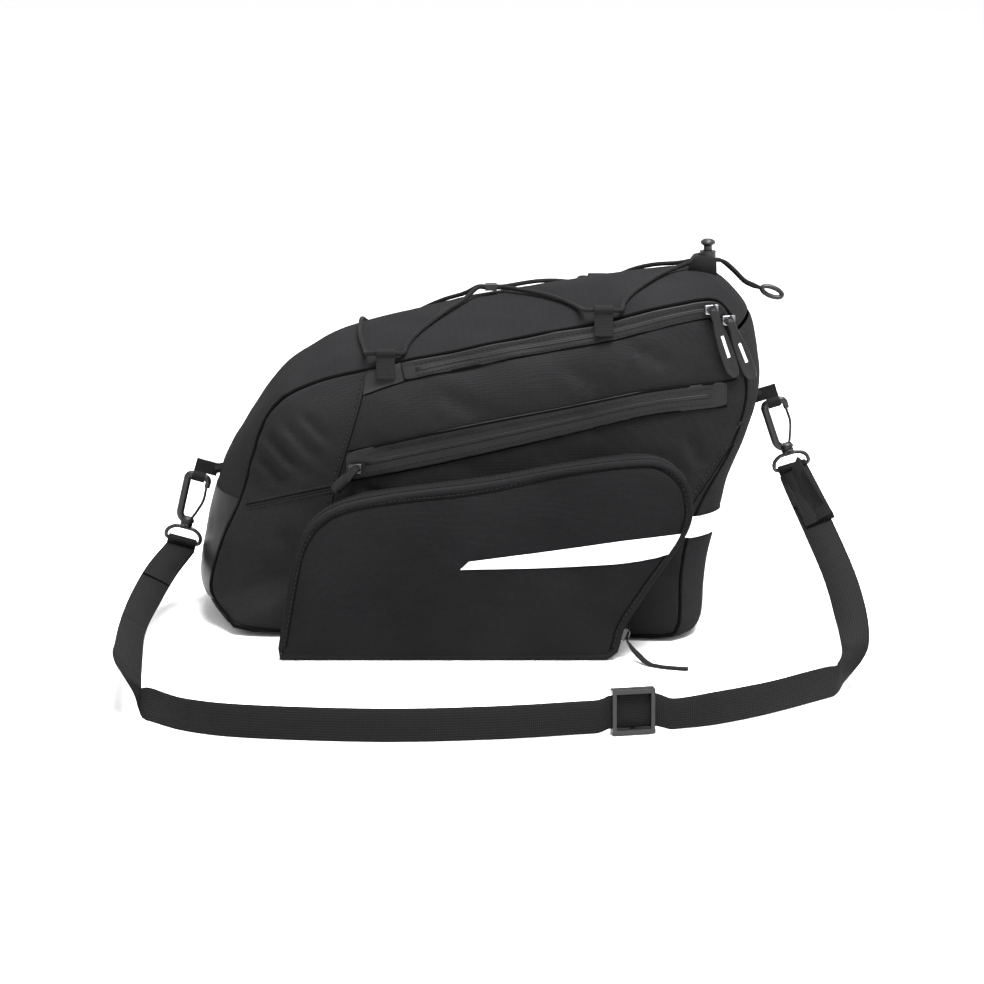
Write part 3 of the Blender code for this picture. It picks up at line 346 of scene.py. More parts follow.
def fold(place):
    """How far the cloth stands in or out at a place, as a vector away from the bag's middle."""
    core = Vector((max(-0.13, min(0.13, place.x)), 0, 0.11))
    away = (place - core).normalized()
    slow = noise.noise(place * 17 + Vector((3.1, 0, 0)))
    slant = noise.noise(Vector((place.x * 30 + place.z * 46, place.y * 14, place.z * 20 - place.x * 12)))
    small = noise.noise(place * 75)
    push = 0.0014 * slow + 0.0009 * slant + 0.00028 * small
    if abs(place.y) > 0.06 and abs(place.y) < 0.1:
        push += crease_depth(place) + roll_between_zips(place)
    push *= smooth_step(place.z / 0.014)
    return away * push


def copy_of(node, weld=1e-5, quads=True):
    """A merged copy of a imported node's mesh, as the start of the piece that replaces it."""
    bm = bmesh.new()
    bm.from_mesh(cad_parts[node].data)
    bmesh.ops.remove_doubles(bm, verts=bm.verts, dist=weld)
    if quads:
        bmesh.ops.join_triangles(bm, faces=bm.faces, angle_face_threshold=0.35, angle_shape_threshold=0.7)
    return bm


def piece(name, bm, material, body="bag", smooth=40):
    """Turns a bmesh into a finished piece that rides on a body and takes its finish from a slot."""
    mesh = bpy.data.meshes.new(name)
    bm.to_mesh(mesh)
    bm.free()
    mesh.materials.append(material)
    mesh.shade_smooth()
    if smooth < 180:
        mesh.set_sharp_from_angle(angle=math.radians(smooth))
    made = bpy.data.objects.new(name, mesh)
    bpy.context.scene.collection.objects.link(made)
    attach(made, body)
    return made


def settled(obj):
    """Replaces an object's mesh by what its modifiers make of it."""
    bpy.context.view_layer.update()
    mesh = bpy.data.meshes.new_from_object(obj.evaluated_get(bpy.context.evaluated_depsgraph_get()))
    obj.modifiers.clear()
    obj.data = mesh
    return obj


def rounded(obj, levels):
    finer = obj.modifiers.new("finer", "SUBSURF")
    finer.levels = finer.render_levels = levels
    return settled(obj)


def folded(obj):
    for vertex in obj.data.vertices:
        vertex.co += fold(vertex.co)
    return obj


def tree_of(*objects):
    """A target for rays, made of these pieces' surfaces."""
    points, faces = [], []
    for obj in objects:
        first = len(points)
        points += [vertex.co.copy() for vertex in obj.data.vertices]
        faces += [[first + k for k in polygon.vertices] for polygon in obj.data.polygons]
    return BVHTree.FromPolygons(points, faces)


print("fold at the left side:", tuple(round(v * 1000, 2) for v in fold(Vector((0, -0.088, 0.15)))), "mm")

# %% [markdown]
# The body is four shells: a panel on each side, a strip that runs up the front and over the top,
# and a strip that closes the rear and the base. Each is a rounded copy of its solid, so the real
# outline is kept. The panel's edge is drawn out by 2.4 mm, so that it is tucked under the strip
# as a sewn edge is. The strip needs the distance along itself for its ripstop grid, measured
# round the bag's side view.

# %% Body shells
SEAM = [
    # seam x, seam z, half width, as shares of half the length, the height and half the width
    *((-0.790, 0.016, 0.955), (-0.884, 0.046, 0.795), (-0.926, 0.078, 0.682)),
    *((-0.945, 0.118, 0.659), (-0.922, 0.199, 0.659), (-0.876, 0.295, 0.682)),
    *((-0.829, 0.376, 0.705), (-0.788, 0.487, 0.716), (-0.747, 0.587, 0.716)),
    *((-0.673, 0.668, 0.727), (-0.521, 0.726, 0.750), (-0.313, 0.764, 0.773)),
    *((-0.150, 0.795, 0.784), (0.110, 0.838, 0.795), (0.435, 0.885, 0.795)),
    *((0.645, 0.926, 0.773), (0.800, 0.943, 0.705), (0.860, 0.915, 0.682)),
    *((0.899, 0.856, 0.682), (0.922, 0.775, 0.705), (0.935, 0.694, 0.750)),
    *((0.917, 0.609, 0.795), (0.876, 0.517, 0.841), (0.802, 0.413, 0.886)),
    *((0.745, 0.310, 0.932), (0.716, 0.192, 0.977), (0.712, 0.089, 1.030)),
    *((0.700, 0.030, 1.070), (0.635, 0.010, 1.080), (0.230, 0.014, 1.000)),
    (-0.276, 0.015, 0.977),
]


def curve_at(rows, at):
    """A point of a closed smooth curve through rows of numbers."""
    index = math.floor(at)
    t = at - index
    a, b, c, d = (Vector(rows[(index + k) % len(rows)]) for k in (-1, 0, 1, 2))
    return b + 0.5 * t * (c - a + t * (2 * a - 5 * b + 4 * c - d + t * (3 * (b - c) + d - a)))


def seam_place(at, side):
    x, z, half = curve_at(SEAM, at)
    return Vector((x * SHARE_X, side * half * SHARE_Y, z * SHARE_Z))


ring = [seam_place(k / 4, 0.0) for k in range(len(SEAM) * 4)]
ring_length = [0.0]
for first, second in zip(ring, ring[1:]):
    ring_length.append(ring_length[-1] + (second - first).length)


def nearest_on_ring(place):
    flat = Vector((place.x, 0, place.z))
    best = min(range(len(ring)), key=lambda k: (ring[k] - flat).length_squared)
    ahead = (ring[(best + 1) % len(ring)] - ring[best - 1]).normalized()
    run = (flat - ring[best]).dot(ahead)
    return ring[best] + ahead * run, ring_length[best] + run


def tucked(bm, reach):
    """Draws a panel's edge out towards the seam, under the strip's edge."""
    for vertex in bm.verts:
        near, _ = nearest_on_ring(vertex.co)
        gap = Vector((near.x - vertex.co.x, 0, near.z - vertex.co.z))
        if gap.length < 0.0062:
            vertex.co += gap.normalized() * reach
    return bm


def shell(node, material, levels, tuck=0.0):
    bm = copy_of(node)
    if tuck:
        tucked(bm, tuck)
    made = rounded(piece(node.replace("_", "_cloth_", 1), bm, material, smooth=180), levels)
    layer = made.data.attributes.new("along", "FLOAT", "POINT")
    if not tuck:
        layer.data.foreach_set("value", [nearest_on_ring(vertex.co)[1] for vertex in made.data.vertices])
    folded(made)
    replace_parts(made, node)
    return made


panel = {
    "left": shell("left_panel", side_cloth, 3, 0.0024),
    "right": shell("right_panel", side_cloth, 3, 0.0024),
}
top_shell = shell("top_gusset", top_cloth, 2)
base_shell = shell("base_gusset", top_cloth, 2)
skin = tree_of(panel["left"], panel["right"], top_shell, base_shell)
SHELLS = ("left_panel", "right_panel", "top_gusset", "base_gusset")
plain_skin = tree_of(*(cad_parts[node] for node in SHELLS))
print("shell faces:", [len(o.data.polygons) for o in (*panel.values(), top_shell, base_shell)])

# %% [markdown]
# Cords, piping, seams and straps are all one idea: a small outline carried along a path. The
# outline is extruded edge by edge, and each face gets a UV in metres, along the path and round
# the outline.

# %% A profile carried along a path
def sweep(places, rim, closed=False):
    """A solid with this rim of (across, out) points at each place of (middle, across axis, out axis)."""
    bm = bmesh.new()
    middle, across, out = places[0]
    start = [bm.verts.new(middle + across * u + out * v) for u, v in rim]
    edges = [bm.edges.new(pair) for pair in zip(start, start[1:] + start[:1])]
    rows = [start]
    for middle, across, out in places[1:]:
        made = bmesh.ops.extrude_edge_only(bm, edges=edges)["geom"]
        row = [None] * len(rim)
        fresh = {item for item in made if isinstance(item, bmesh.types.BMVert)}
        for index, vertex in enumerate(rows[-1]):
            ends = [edge.other_vert(vertex) for edge in vertex.link_edges]
            row[index] = next(end for end in ends if end in fresh)
        for vertex, (u, v) in zip(row, rim):
            vertex.co = middle + across * u + out * v
        edges = [bm.edges.get(pair) for pair in zip(row, row[1:] + row[:1])]
        rows.append(row)
    if closed:
        loop = [bm.edges.get(pair) for pair in zip(rows[0], rows[0][1:] + rows[0][:1])]
        bmesh.ops.bridge_loops(bm, edges=edges + loop)
    else:
        bm.faces.new(rows[0])
        bm.faces.new(rows[-1])
    lengths = [0.0]
    for (first, _, _), (second, _, _) in zip(places, places[1:]):
        lengths.append(lengths[-1] + (second - first).length)
    rim_length = [0.0]
    for first, second in zip(rim, rim[1:] + rim[:1]):
        rim_length.append(rim_length[-1] + math.dist(first, second))
    address = {v: (r, k) for r, row in enumerate(rows) for k, v in enumerate(row)}
    uv = bm.loops.layers.uv.new("UVMap")
    for face in bm.faces:
        found = [address[loop.vert] for loop in face.loops]
        wraps = {k for _, k in found} >= {0, len(rim) - 1} and len(found) == 4
        laps = closed and {r for r, _ in found} >= {0, len(rows) - 1}
        for loop, (r, k) in zip(face.loops, found):
            around = rim_length[len(rim)] if wraps and k == 0 else rim_length[k]
            far = lengths[-1] + 0.004 if laps and r == 0 else lengths[r]
            loop[uv].uv = (far, around)
    bmesh.ops.recalc_face_normals(bm, faces=bm.faces)
    return bm


def round_rim(radius, sides=10, high=1.0):
    turns = [math.tau * k / sides for k in range(sides)]
    return [(radius * math.cos(turn), radius * high * math.sin(turn)) for turn in turns]


def tape_rim(width, thick):
    """A flat tape with soft edges, centred on its own middle."""
    w, t = width / 2, thick / 2
    return [(-w, 0), (-w + t, t), (0, t * 1.05), (w - t, t), (w, 0), (w - t, -t), (0, -t), (-w + t, -t)]


def along_path(points, out=None, closed=False):
    """Frames along a path. Each keeps near the one before it, or near the outward direction given."""
    places = []
    count = len(points)
    keep = out
    for k, point in enumerate(points):
        before = points[k - 1] if closed or k else point
        after = points[(k + 1) % count] if closed or k < count - 1 else point
        run = (after - before).normalized()
        if out is not None and not isinstance(out, Vector):
            keep = out[k]
        if keep is None:
            keep = run.orthogonal()
        keep = (keep - run * keep.dot(run)).normalized()
        places.append((point, run.cross(keep), keep))
    return places


def smooth_line(points, steps):
    """More points on a smooth curve through the given ones."""
    ends = [2 * points[0] - points[1], *points, 2 * points[-1] - points[-2]]
    fine = []
    for k in range(len(points) - 1):
        a, b, c, d = ends[k : k + 4]
        for step in range(steps):
            t = step / steps
            fine.append(b + 0.5 * t * (c - a + t * (2 * a - 5 * b + 4 * c - d + t * (3 * (b - c) + d - a))))
    return fine + [points[-1]]


def turned_corners(corners, radius, closed=False, steps=5):
    """A path through corners, each turned on a curve that starts this far from it."""
    path = []
    count = len(corners)
    for k, corner in enumerate(corners):
        if not closed and k in (0, count - 1):
            path.append(corner)
            continue
        into = corner + (corners[k - 1] - corner).normalized() * radius
        leave = corner + (corners[(k + 1) % count] - corner).normalized() * radius
        for step in range(steps + 1):
            t = step / steps
            path.append(into * (1 - t) ** 2 + corner * 2 * t * (1 - t) + leave * t**2)
    return path


def on_side(tree, x, z, side, proud=0.0):
    """A place on a side's surface and its outward normal."""
    place, normal, _, _ = tree.ray_cast(Vector((x, side * 0.4, z)), Vector((0, -side, 0)))
    if place is None:
        return None
    normal = normal if normal.y * side > 0 else -normal
    return place + normal * proud, normal


def side_path(tree, pairs, side, proud, steps=6):
    flat = smooth_line([Vector((x, 0, z)) for x, z in pairs], steps)
    found = [on_side(tree, p.x, p.z, side, proud) for p in flat]
    found = [pair for pair in found if pair and abs(pair[0].y) > 0.03]
    return [place for place, _ in found], [normal for _, normal in found]


print("sweep helper ready")

# %% [markdown]
# A sewn seam on black cloth reads as a dark line between two low lips, with a row of stitches
# beside it. Three pieces make one: the lips, a near-black strip between them that is painted
# shade for the seam's valley, and stitches of polyester thread.

# %% Seams and stitches
# Outlines in millimetres: across the seam and out of the cloth.
LIPS = [(-2.6, -0.5), (-2.0, 0.12), (-1.2, 0.42), (-0.6, 0.2), (0, -0.1), (0.6, 0.2), (1.2, 0.42)]
LIPS += [(2.0, 0.12), (2.6, -0.5)]
LINE = [(-0.62, -0.3), (-0.5, 0.22), (0, 0.3), (0.5, 0.22), (0.62, -0.3)]


def in_mm(rim):
    return [(u / 1000, v / 1000) for u, v in rim]


def stitches(name, places, shift, pitch=0.0036, length=0.0024, width=0.0006):
    """Short raised stitches at even steps along a path, moved across it."""
    bm = bmesh.new()
    want = pitch / 2
    gone = 0.0
    for (first, across, out), (second, _, _) in zip(places, places[1:]):
        step = (second - first).length
        while step > 1e-7 and want <= gone + step:
            run = (second - first).normalized()
            middle = first.lerp(second, (want - gone) / step) + across * shift
            side_way = out.cross(run)
            axes = Matrix((run * length, side_way * width, out * width)).transposed().to_4x4()
            bmesh.ops.create_cube(bm, size=1, matrix=Matrix.Translation(middle) @ axes)
            want += pitch
        gone += step
    return piece(name, bm, stitch_thread, smooth=180)


def lifted(places, height):
    """The same frames, moved out by this height."""
    return [(middle + out * height, across, out) for middle, across, out in places]


def sewn_seam(name, pairs, side):
    """Lips, a near-black strip of painted groove shade and one row of stitches, laid on the body's skin."""
    points, outs = side_path(skin, pairs, side, 0.0)
    places = along_path(points, outs)
    piece(f"{name}_lips", sweep(places, in_mm(LIPS)), side_cloth, smooth=180)
    # The dark line is painted shade: a near-black strip where the seam's groove falls into shadow.
    piece(f"{name}_line", sweep(places, in_mm(LINE)), groove_shade, smooth=180)
    stitches(f"{name}_stitches_0", lifted(places, 0.0002), 0.0034)


SEAMS = {
    # x and z of points along each seam, in metres
    "middle": [
        *((-0.0815, 0.2025), (-0.0838, 0.19), (-0.0868, 0.1775), (-0.0914, 0.162)),
        *((-0.0983, 0.1394), (-0.1015, 0.1294), (-0.105, 0.117), (-0.110, 0.098)),
    ],
    "lower_front": [(-0.1745, 0.0985), (-0.1599, 0.1023), (-0.1366, 0.1091), (-0.105, 0.1171)],
    "rear": [(0.199, 0.163), (0.191, 0.1464), (0.1768, 0.1244), (0.1612, 0.1013), (0.148, 0.082)],
}
for word, side in (("left", -1), ("right", 1)):
    for name, pairs in SEAMS.items():
        sewn_seam(f"{name}_seam_{word}", pairs, side)
print("seams:", list(SEAMS))

# %% [markdown]
# Where a panel meets the strip, the two edges are turned in and sewn. What shows is a dark line
# with a rolled edge on both sides. A near-black cord is sunk into the slit, so that no light passes
# through, and its colour is painted shade for the seam's groove.

# %% Edge seams
edge_shade_cord = []
for word, side in (("left", -1), ("right", 1)):
    middle = Vector((0, 0, 0.39 * SHARE_Z))
    line, outs = [], []
    for k in range(len(SEAM) * 3):
        place = seam_place(k / 3, side)
        inward = Vector((middle.x - place.x, 0, middle.z - place.z)).normalized()
        line.append(place + fold(place) + inward * 0.0011 - Vector((0, side * 0.0009, 0)))
        outs.append((Vector((0, side, 0)) - inward * 0.6).normalized())
    places = along_path(line, outs, True)
    cord = sweep(places, round_rim(0.0014, 8), True)
    edge_shade_cord.append(piece(f"edge_shade_cord_{word}", cord, groove_shade, smooth=180))
print("edge seam length:", round(ring_length[-1], 3), "m")

# %% [markdown]
# The strip over the top and the strip under the base meet in a cross seam high on the rear. It is
# covered by a flat tape of the same cloth, laid on the strip from edge to edge. Rays from outside
# find the cloth under the tape.

# %% Cross seam at the rear
strips = tree_of(top_shell, base_shell)


def cross_tape(name, start, out, half, width=0.011):
    """A tape from edge to edge of the strip, found by rays from outside towards this place."""
    up = Vector((0, 1, 0)).cross(out)
    points = []
    for k in range(25):
        y = half * (k / 12 - 1)
        levels = []
        for shift in (-0.0042, 0.0042):
            origin = start + Vector((0, y, 0)) + up * shift + out * 0.05
            place, _, _, _ = strips.ray_cast(origin, -out)
            levels.append((place - start).dot(out) if place is not None else 0.0)
        points.append(start + Vector((0, y, 0)) + out * (sum(levels) / 2 + 0.0001))
    ways = along_path(points, out)
    piece(f"{name}_tape", sweep(ways, tape_rim(width, 0.0013)), top_cloth, smooth=60)
    for index, shift in enumerate((-0.0042, 0.0042)):
        stitches(f"{name}_stitches_{index}", lifted(ways, 0.0007), shift)


rear_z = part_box("base_gusset")[1][2]
rear_at = min((k / 40 for k in range(16 * 40, 24 * 40)), key=lambda at: abs(seam_place(at, 0).z - rear_z))
before, after = seam_place(rear_at - 0.1, 0), seam_place(rear_at + 0.1, 0)
run = (after - before).normalized()
rear_out = Vector((-run.z, 0, run.x))
rear_out = rear_out if rear_out.x > 0 else -rear_out
cross_tape("rear_cross_seam", seam_place(rear_at, 0), rear_out, abs(seam_place(rear_at, 1).y) - 0.004)
print("rear cross seam at z", round(rear_z, 4))

# %% [markdown]
# Each pouch is a box of cloth with a crowned front, in the side cloth's darker copy, which is
# painted shade. A round welt of piping runs round the front's edge, which keeps the soft box in
# shape, with a near-black strip inside it that is painted shade for the groove beside the welt.
# Its zip runs round the box's wall, with a near-black strip of painted shade down its middle.

# %% Pouches
POUCH = [
    # x and z round a pouch's side view, as shares of its length and height
    *((0.000, 0.000), (0.003, 0.055), (0.030, 0.386), (0.050, 0.560)),
    *((0.088, 0.685), (0.155, 0.765), (0.285, 0.822), (0.512, 0.882)),
    *((0.705, 0.955), (0.860, 0.995), (0.935, 0.985), (0.985, 0.900)),
    *((1.000, 0.780), (0.990, 0.670), (0.955, 0.545), (0.893, 0.358)),
    *((0.840, 0.180), (0.820, 0.045), (0.800, 0.000)),
]


POUCH_START, POUCH_LENGTH, POUCH_HEIGHT, POUCH_DEPTH, POUCH_LEAN = -0.145, 0.302, 0.145, 0.057, 0.017


def pouch_place(x, z, side, sink=0.0):
    """A place on the flat plane of a pouch's front, from shares of its length and height."""
    depth = SHARE_Y + POUCH_DEPTH - POUCH_LEAN * z - sink
    return Vector((POUCH_START + x * POUCH_LENGTH, side * depth, z * POUCH_HEIGHT))


def creased_rim(bm, low):
    """Keeps the sharp lower edge of a box of cloth when it is subdivided."""
    layer = bm.edges.layers.float.new("crease_edge")
    for edge in bm.edges:
        if all(vertex.co.z < low for vertex in edge.verts):
            edge[layer] = 0.7
    return bm


pouch = {}
for word, side in (("left", -1), ("right", 1)):
    bm = creased_rim(copy_of(f"{word}_pouch"), 0.0015)
    made = rounded(piece(f"shaded_pouch_cloth_{word}", bm, shaded_pouch_cloth, smooth=180), 2)
    folded(made)
    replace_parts(made, f"{word}_pouch")
    pouch[word] = made
    corners = [pouch_place(x, z, side, 0.0022) for x, z in POUCH]
    line = smooth_line(corners[1:-1], 5)
    line = [corners[0] + Vector((0, 0, 0.0022)), *line, corners[-1] + Vector((0, 0, 0.0022))]
    line = [place + fold(place) for place in line]
    welt = sweep(along_path(line, Vector((0, side, 0)), True), round_rim(0.0023), True)
    piece(f"pouch_welt_{word}", welt, shaded_pouch_cloth, smooth=180)
    heart = pouch_place(0.46, 0.42, side)
    inner = []
    for corner in smooth_line(corners[1:-1], 5):
        x, _, z = corner + Vector((heart.x - corner.x, 0, heart.z - corner.z)).normalized() * 0.0041
        inner.append((x, max(z, 0.006)))
    front = tree_of(made)
    found = [on_side(front, x, z, side, 0.0) for x, z in inner]
    places = along_path([place for place, _ in found], [normal for _, normal in found])
    # A near-black strip inside the welt: painted shade for the groove beside it.
    piece(f"pouch_welt_shade_line_{word}", sweep(places, in_mm(LINE)), groove_shade, smooth=180)
    stitches(f"pouch_stitches_{word}", lifted(places, 0.0002), 0.0018 * side)
    wall = [pouch_place(x, z, side, 0.0) for x, z in POUCH[1:-1]]
    wall = smooth_line([Vector((p.x, side * 0.116, p.z)) for p in wall], 5)
    outs = []
    for k, point in enumerate(wall):
        run = (wall[min(k + 1, len(wall) - 1)] - wall[max(k - 1, 0)]).normalized()
        outs.append(Vector((-run.z, 0, run.x)))
    wall = [point + fold(point) + out * 0.0005 for point, out in zip(wall, outs)]
    places = along_path(wall, outs)
    piece(f"pouch_zip_tape_{word}", sweep(places, tape_rim(0.022, 0.0012)), flap_coat, smooth=60)
    ridge = lifted(places, 0.0006)
    # A near-black strip down the zip's middle: painted shade for its closing groove.
    piece(f"pouch_zip_shade_line_{word}", sweep(ridge, in_mm(LINE)), groove_shade, smooth=180)
    for index, shift in enumerate((-0.0094, 0.0094)):
        stitches(f"pouch_zip_stitches_{word}_{index}", ridge, shift)
print("pouch faces:", len(pouch["left"].data.polygons))

# %% [markdown]
# The reflective trim is cut from one sheet of film and pressed on. It is drawn as a grid that is
# laid on the cloth point by point, then given its thickness.

# %% Reflective trim
def laid_sheet(name, columns, rows, place_at, thick, material):
    """A grid laid on a surface. place_at gives a point for shares along and up the sheet."""
    bm = bmesh.new()
    bmesh.ops.create_grid(bm, x_segments=columns, y_segments=rows, size=1)
    for vertex in bm.verts:
        vertex.co = place_at((vertex.co.x + 1) / 2, (vertex.co.y + 1) / 2)
    bmesh.ops.recalc_face_normals(bm, faces=bm.faces)
    bmesh.ops.solidify(bm, geom=bm.faces[:], thickness=thick)
    bmesh.ops.recalc_face_normals(bm, faces=bm.faces)
    return piece(name, bm, material, smooth=60)


def between(pairs, share):
    """The lower and upper point of a band at a share of its length."""
    at = share * (len(pairs) - 1)
    k = min(int(at), len(pairs) - 2)
    (first_low, first_high), (second_low, second_high) = pairs[k], pairs[k + 1]
    low = Vector(first_low).lerp(Vector(second_low), at - k)
    high = Vector(first_high).lerp(Vector(second_high), at - k)
    return low, high


POUCH_FLASH = [
    # lower x, z and upper x, z in metres
    ((-0.0118, 0.0683), (-0.0108, 0.0690)),
    ((-0.0067, 0.0684), (-0.0053, 0.0740)),
    ((0.0314, 0.0691), (0.0321, 0.0789)),
    ((0.0674, 0.0702), (0.0681, 0.0836)),
    ((0.1041, 0.0720), (0.1055, 0.0884)),
    ((0.1188, 0.0738), (0.1202, 0.0902)),
    ((0.1321, 0.0762), (0.1349, 0.0919)),
    ((0.1420, 0.0790), (0.1506, 0.0936)),
]
for word, side in (("left", -1), ("right", 1)):
    target = tree_of(pouch[word])

    def on_pouch(along, up, side=side, target=target):
        low, high = between(POUCH_FLASH, along)
        x, z = low.lerp(high, up)
        return on_side(target, x, z, side, 0.0004)[0]

    laid_sheet(f"reflective_flash_{word}", 56, 6, on_pouch, 0.0003, film)


closed_skin = tree_of(panel["left"], panel["right"], top_shell, base_shell, *edge_shade_cord)


def round_the_rear(along, up):
    """A place on a band that runs from the left side round the rear to the right side."""
    turn = math.radians(74 - 148 * along)
    out = Vector((math.cos(turn), -math.sin(turn), 0))
    share = abs(2 * along - 1)
    low, high = 0.0735 + 0.0045 * share, 0.0900 + 0.0040 * share
    start = Vector((0.12, 0, low + (high - low) * up)) + out * 0.3
    place, normal, _, _ = closed_skin.ray_cast(start, -out)
    return place + (normal if normal.dot(out) > 0 else -normal) * 0.0006


laid_sheet("reflective_band_rear", 120, 6, round_the_rear, 0.0003, film)
print("trim pressed on")

# %% [markdown]
# A zip on this bag hides under two coated tapes that meet in a straight line. Each band is a copy
# of the solid flap. Near-black strips of painted shade run along it above and below, where its
# edges meet the panel, a slim closing line runs down its middle, and fine stitches hold it to the
# panel.

# %% Zip bands
def under_seam(at, depth):
    """A point of the side view this far inside the seam, as x and z."""
    before, here, after = (seam_place(at + step, 0) for step in (-0.05, 0.0, 0.05))
    run = (after - before).normalized()
    return here.x + run.z * depth, here.z - run.x * depth


main_start, main_end = 11.3, 17.1
places_at = [main_start + (main_end - main_start) * k / 18 for k in range(19)]
main_band = [(under_seam(at, 0.0142), under_seam(at, 0.0014)) for at in places_at]
SIDE_ZIP = [
    # x as a share of half the length, the band's lower and upper edge as shares of the height
    (-0.452, 0.446, 0.528),
    (-0.101, 0.505, 0.593),
    (0.318, 0.583, 0.659),
    (0.585, 0.631, 0.698),
    (0.865, 0.650, 0.718),
]
side_low = smooth_line([Vector((x * SHARE_X, low * SHARE_Z)) for x, low, _ in SIDE_ZIP], 5)
side_high = smooth_line([Vector((x * SHARE_X, high * SHARE_Z)) for x, _, high in SIDE_ZIP], 5)
side_band = [(tuple(low), tuple(high)) for low, high in zip(side_low, side_high)]
MAIN_BAND_START, SIDE_BAND_END = (-0.0845, 0.1849), (0.1945, 0.1958)  # x, z where a band's edge meets a seam
CLOSING = [(-1.5, -0.2), (-1.0, 0.3), (-0.4, 0.36), (0, -0.05), (0.4, 0.36), (1.0, 0.3), (1.5, -0.2)]

for word, side in (("left", -1), ("right", 1)):
    toe = [((-0.0845, 0.1853), (-0.0824, 0.2000)), main_band[0]]

    def on_toe(along, up, side=side, toe=toe):
        low, high = between(toe, along)
        x, z = low.lerp(high, up)
        return on_side(skin, x, z, side, 0.0012)[0]

    laid_sheet(f"main_zip_toe_{word}", 16, 6, on_toe, 0.0016, flap_coat)
    for zip_name, band in (("main_zip", main_band), ("side_zip", side_band)):
        node = f"{zip_name}_{word}"
        flap = rounded(piece(f"{node}_band", copy_of(node), flap_coat, smooth=50), 2)
        folded(flap)
        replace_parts(flap, node)
        cover = tree_of(flap, panel[word])
        low_line = [low for low, _ in band]
        high_line = [high for _, high in band]
        if zip_name == "main_zip":
            edges_of_band = {"low": [MAIN_BAND_START, *low_line]}
        else:
            edges_of_band = {"low": low_line, "high": [*high_line, SIDE_BAND_END]}
        for edge_name, pairs in edges_of_band.items():
            points, outs = side_path(cover, pairs, side, 0.0, 2)
            rim = [(u * 1.5, v * 1.2) for u, v in in_mm(LINE)]
            edge = sweep(along_path(points, outs), rim)
            # These edge strips are painted shade along the flap's edges, where it overlaps the panel.
            piece(f"{node}_{edge_name}_edge", edge, groove_shade, smooth=180)
        for index, share in enumerate((0.5, 0.2, 0.8)):
            pairs = [tuple(Vector(low).lerp(Vector(high), share)) for low, high in band][1:-1]
            points, outs = side_path(cover, pairs, side, 0.0002, 2)
            ways = along_path(points, outs)
            if index:
                stitches(f"{node}_stitches_{index - 1}", ways, 0.0)
            else:
                piece(f"{node}_closing", sweep(ways, in_mm(CLOSING)), flap_coat, smooth=180)
print("bands dressed:", len(main_band), len(side_band))

# %% [markdown]
# The nose below the front tab wears a patch of coated cloth that sheds spray from the wheel. It
# is cut from the strip's own surface: a copy keeps only the outer faces there, moves out by the
# cloth's thickness and is thickened. The base gets the same patch.

# %% Coated patches
def patch_of(name, source, keep, lift, thick, material, top):
    """A thin layer over the faces of a piece that keep(centre, normal) picks, cut straight at this height."""
    bm = bmesh.new()
    bm.from_mesh(source.data)
    geometry = bm.verts[:] + bm.edges[:] + bm.faces[:]
    bmesh.ops.bisect_plane(bm, geom=geometry, dist=1e-6, plane_co=(0, 0, top), plane_no=(0, 0, 1))
    bm.normal_update()
    others = [face for face in bm.faces if not keep(face.calc_center_median(), face.normal)]
    bmesh.ops.delete(bm, geom=others, context="FACES")
    bm.normal_update()
    for vertex in bm.verts:
        vertex.co += vertex.normal * lift
    bmesh.ops.solidify(bm, geom=bm.faces[:], thickness=thick)
    bmesh.ops.recalc_face_normals(bm, faces=bm.faces)
    return piece(name, bm, material, smooth=60)


NOSE_TOP = 0.102


def on_nose(centre, normal):
    outward = normal.dot(centre - Vector((-0.10, 0, 0.09))) > 0
    return outward and centre.x < -0.15 and 0.008 < centre.z < NOSE_TOP


def on_base(centre, normal):
    return normal.z < -0.8 and centre.z < 0.004


patch_of("nose_guard", top_shell, on_nose, 0.0005, 0.0004, nose_coat, NOSE_TOP)
patch_of("base_guard", base_shell, on_base, 0.0, 0.0003, nose_coat, 0.004)
print("patches cut")

# %% [markdown]
# Small rigid fittings keep their solids' shape. A copy is given a small bevel, because no moulded
# or cast edge is truly sharp, and that bevel is what catches the light.

# %% Rigid fittings
def fitted(node, material, bevel=0.0003, body="bag"):
    """A merged copy of a rigid node with slightly rounded edges."""
    bm = copy_of(node, quads=False)
    bmesh.ops.dissolve_limit(bm, angle_limit=math.radians(2), verts=bm.verts, edges=bm.edges)
    made = piece(f"{node}_fitting", bm, material, body=body, smooth=40)
    if bevel:
        edge = made.modifiers.new("edge", "BEVEL")
        edge.width = bevel
        edge.segments = 3
        edge.limit_method = "ANGLE"
        edge.angle_limit = math.radians(35)
        settled(made)
    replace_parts(made, node)
    return made


fitted("strap_buckle", acetal, 0.0008)
fitted("cord_clip", acetal, 0.0005)
fitted("lock_barrel", acetal, 0.0005)
fitted("lock_button", acetal, 0.0004, body="button")
for node in ("front_tab", "rear_tab"):
    fitted(node, tab_weave, 0.0004)
for end, way in (("front", 1), ("rear", -1)):
    low, high = (Vector(corner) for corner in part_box(f"{end}_tab"))
    inner = high.x if way > 0 else low.x
    root = Vector((inner - way * 0.004, 0, high.z - 0.0085))
    run = [root, root + Vector((way * 0.006, 0, 0.001)), root + Vector((way * 0.016, 0, 0.004))]
    band = sweep(along_path(run, Vector((0, 0, 1))), tape_rim(high.y - low.y, 0.0075))
    piece(f"{end}_tab_root", band, tab_weave, smooth=60)
for end in ("front", "rear"):
    for word in ("left", "right"):
        fitted(f"{end}_cord_loop_{word}", tab_weave, 0.0004)
for word in ("left", "right"):
    fitted(f"{word}_pouch_ribbon", tab_weave, 0)
print("rigid fittings dressed")

# %% [markdown]
# A snap hook is a bent bar with a swivel at its foot, a sprung gate across its mouth, and a ring
# for the strap. The bar is an oval outline carried round the hook's corners, thick at its back
# and slim at its beak. The swivel's collar is turned on a lathe: a half outline spun round the
# hook's own axis.

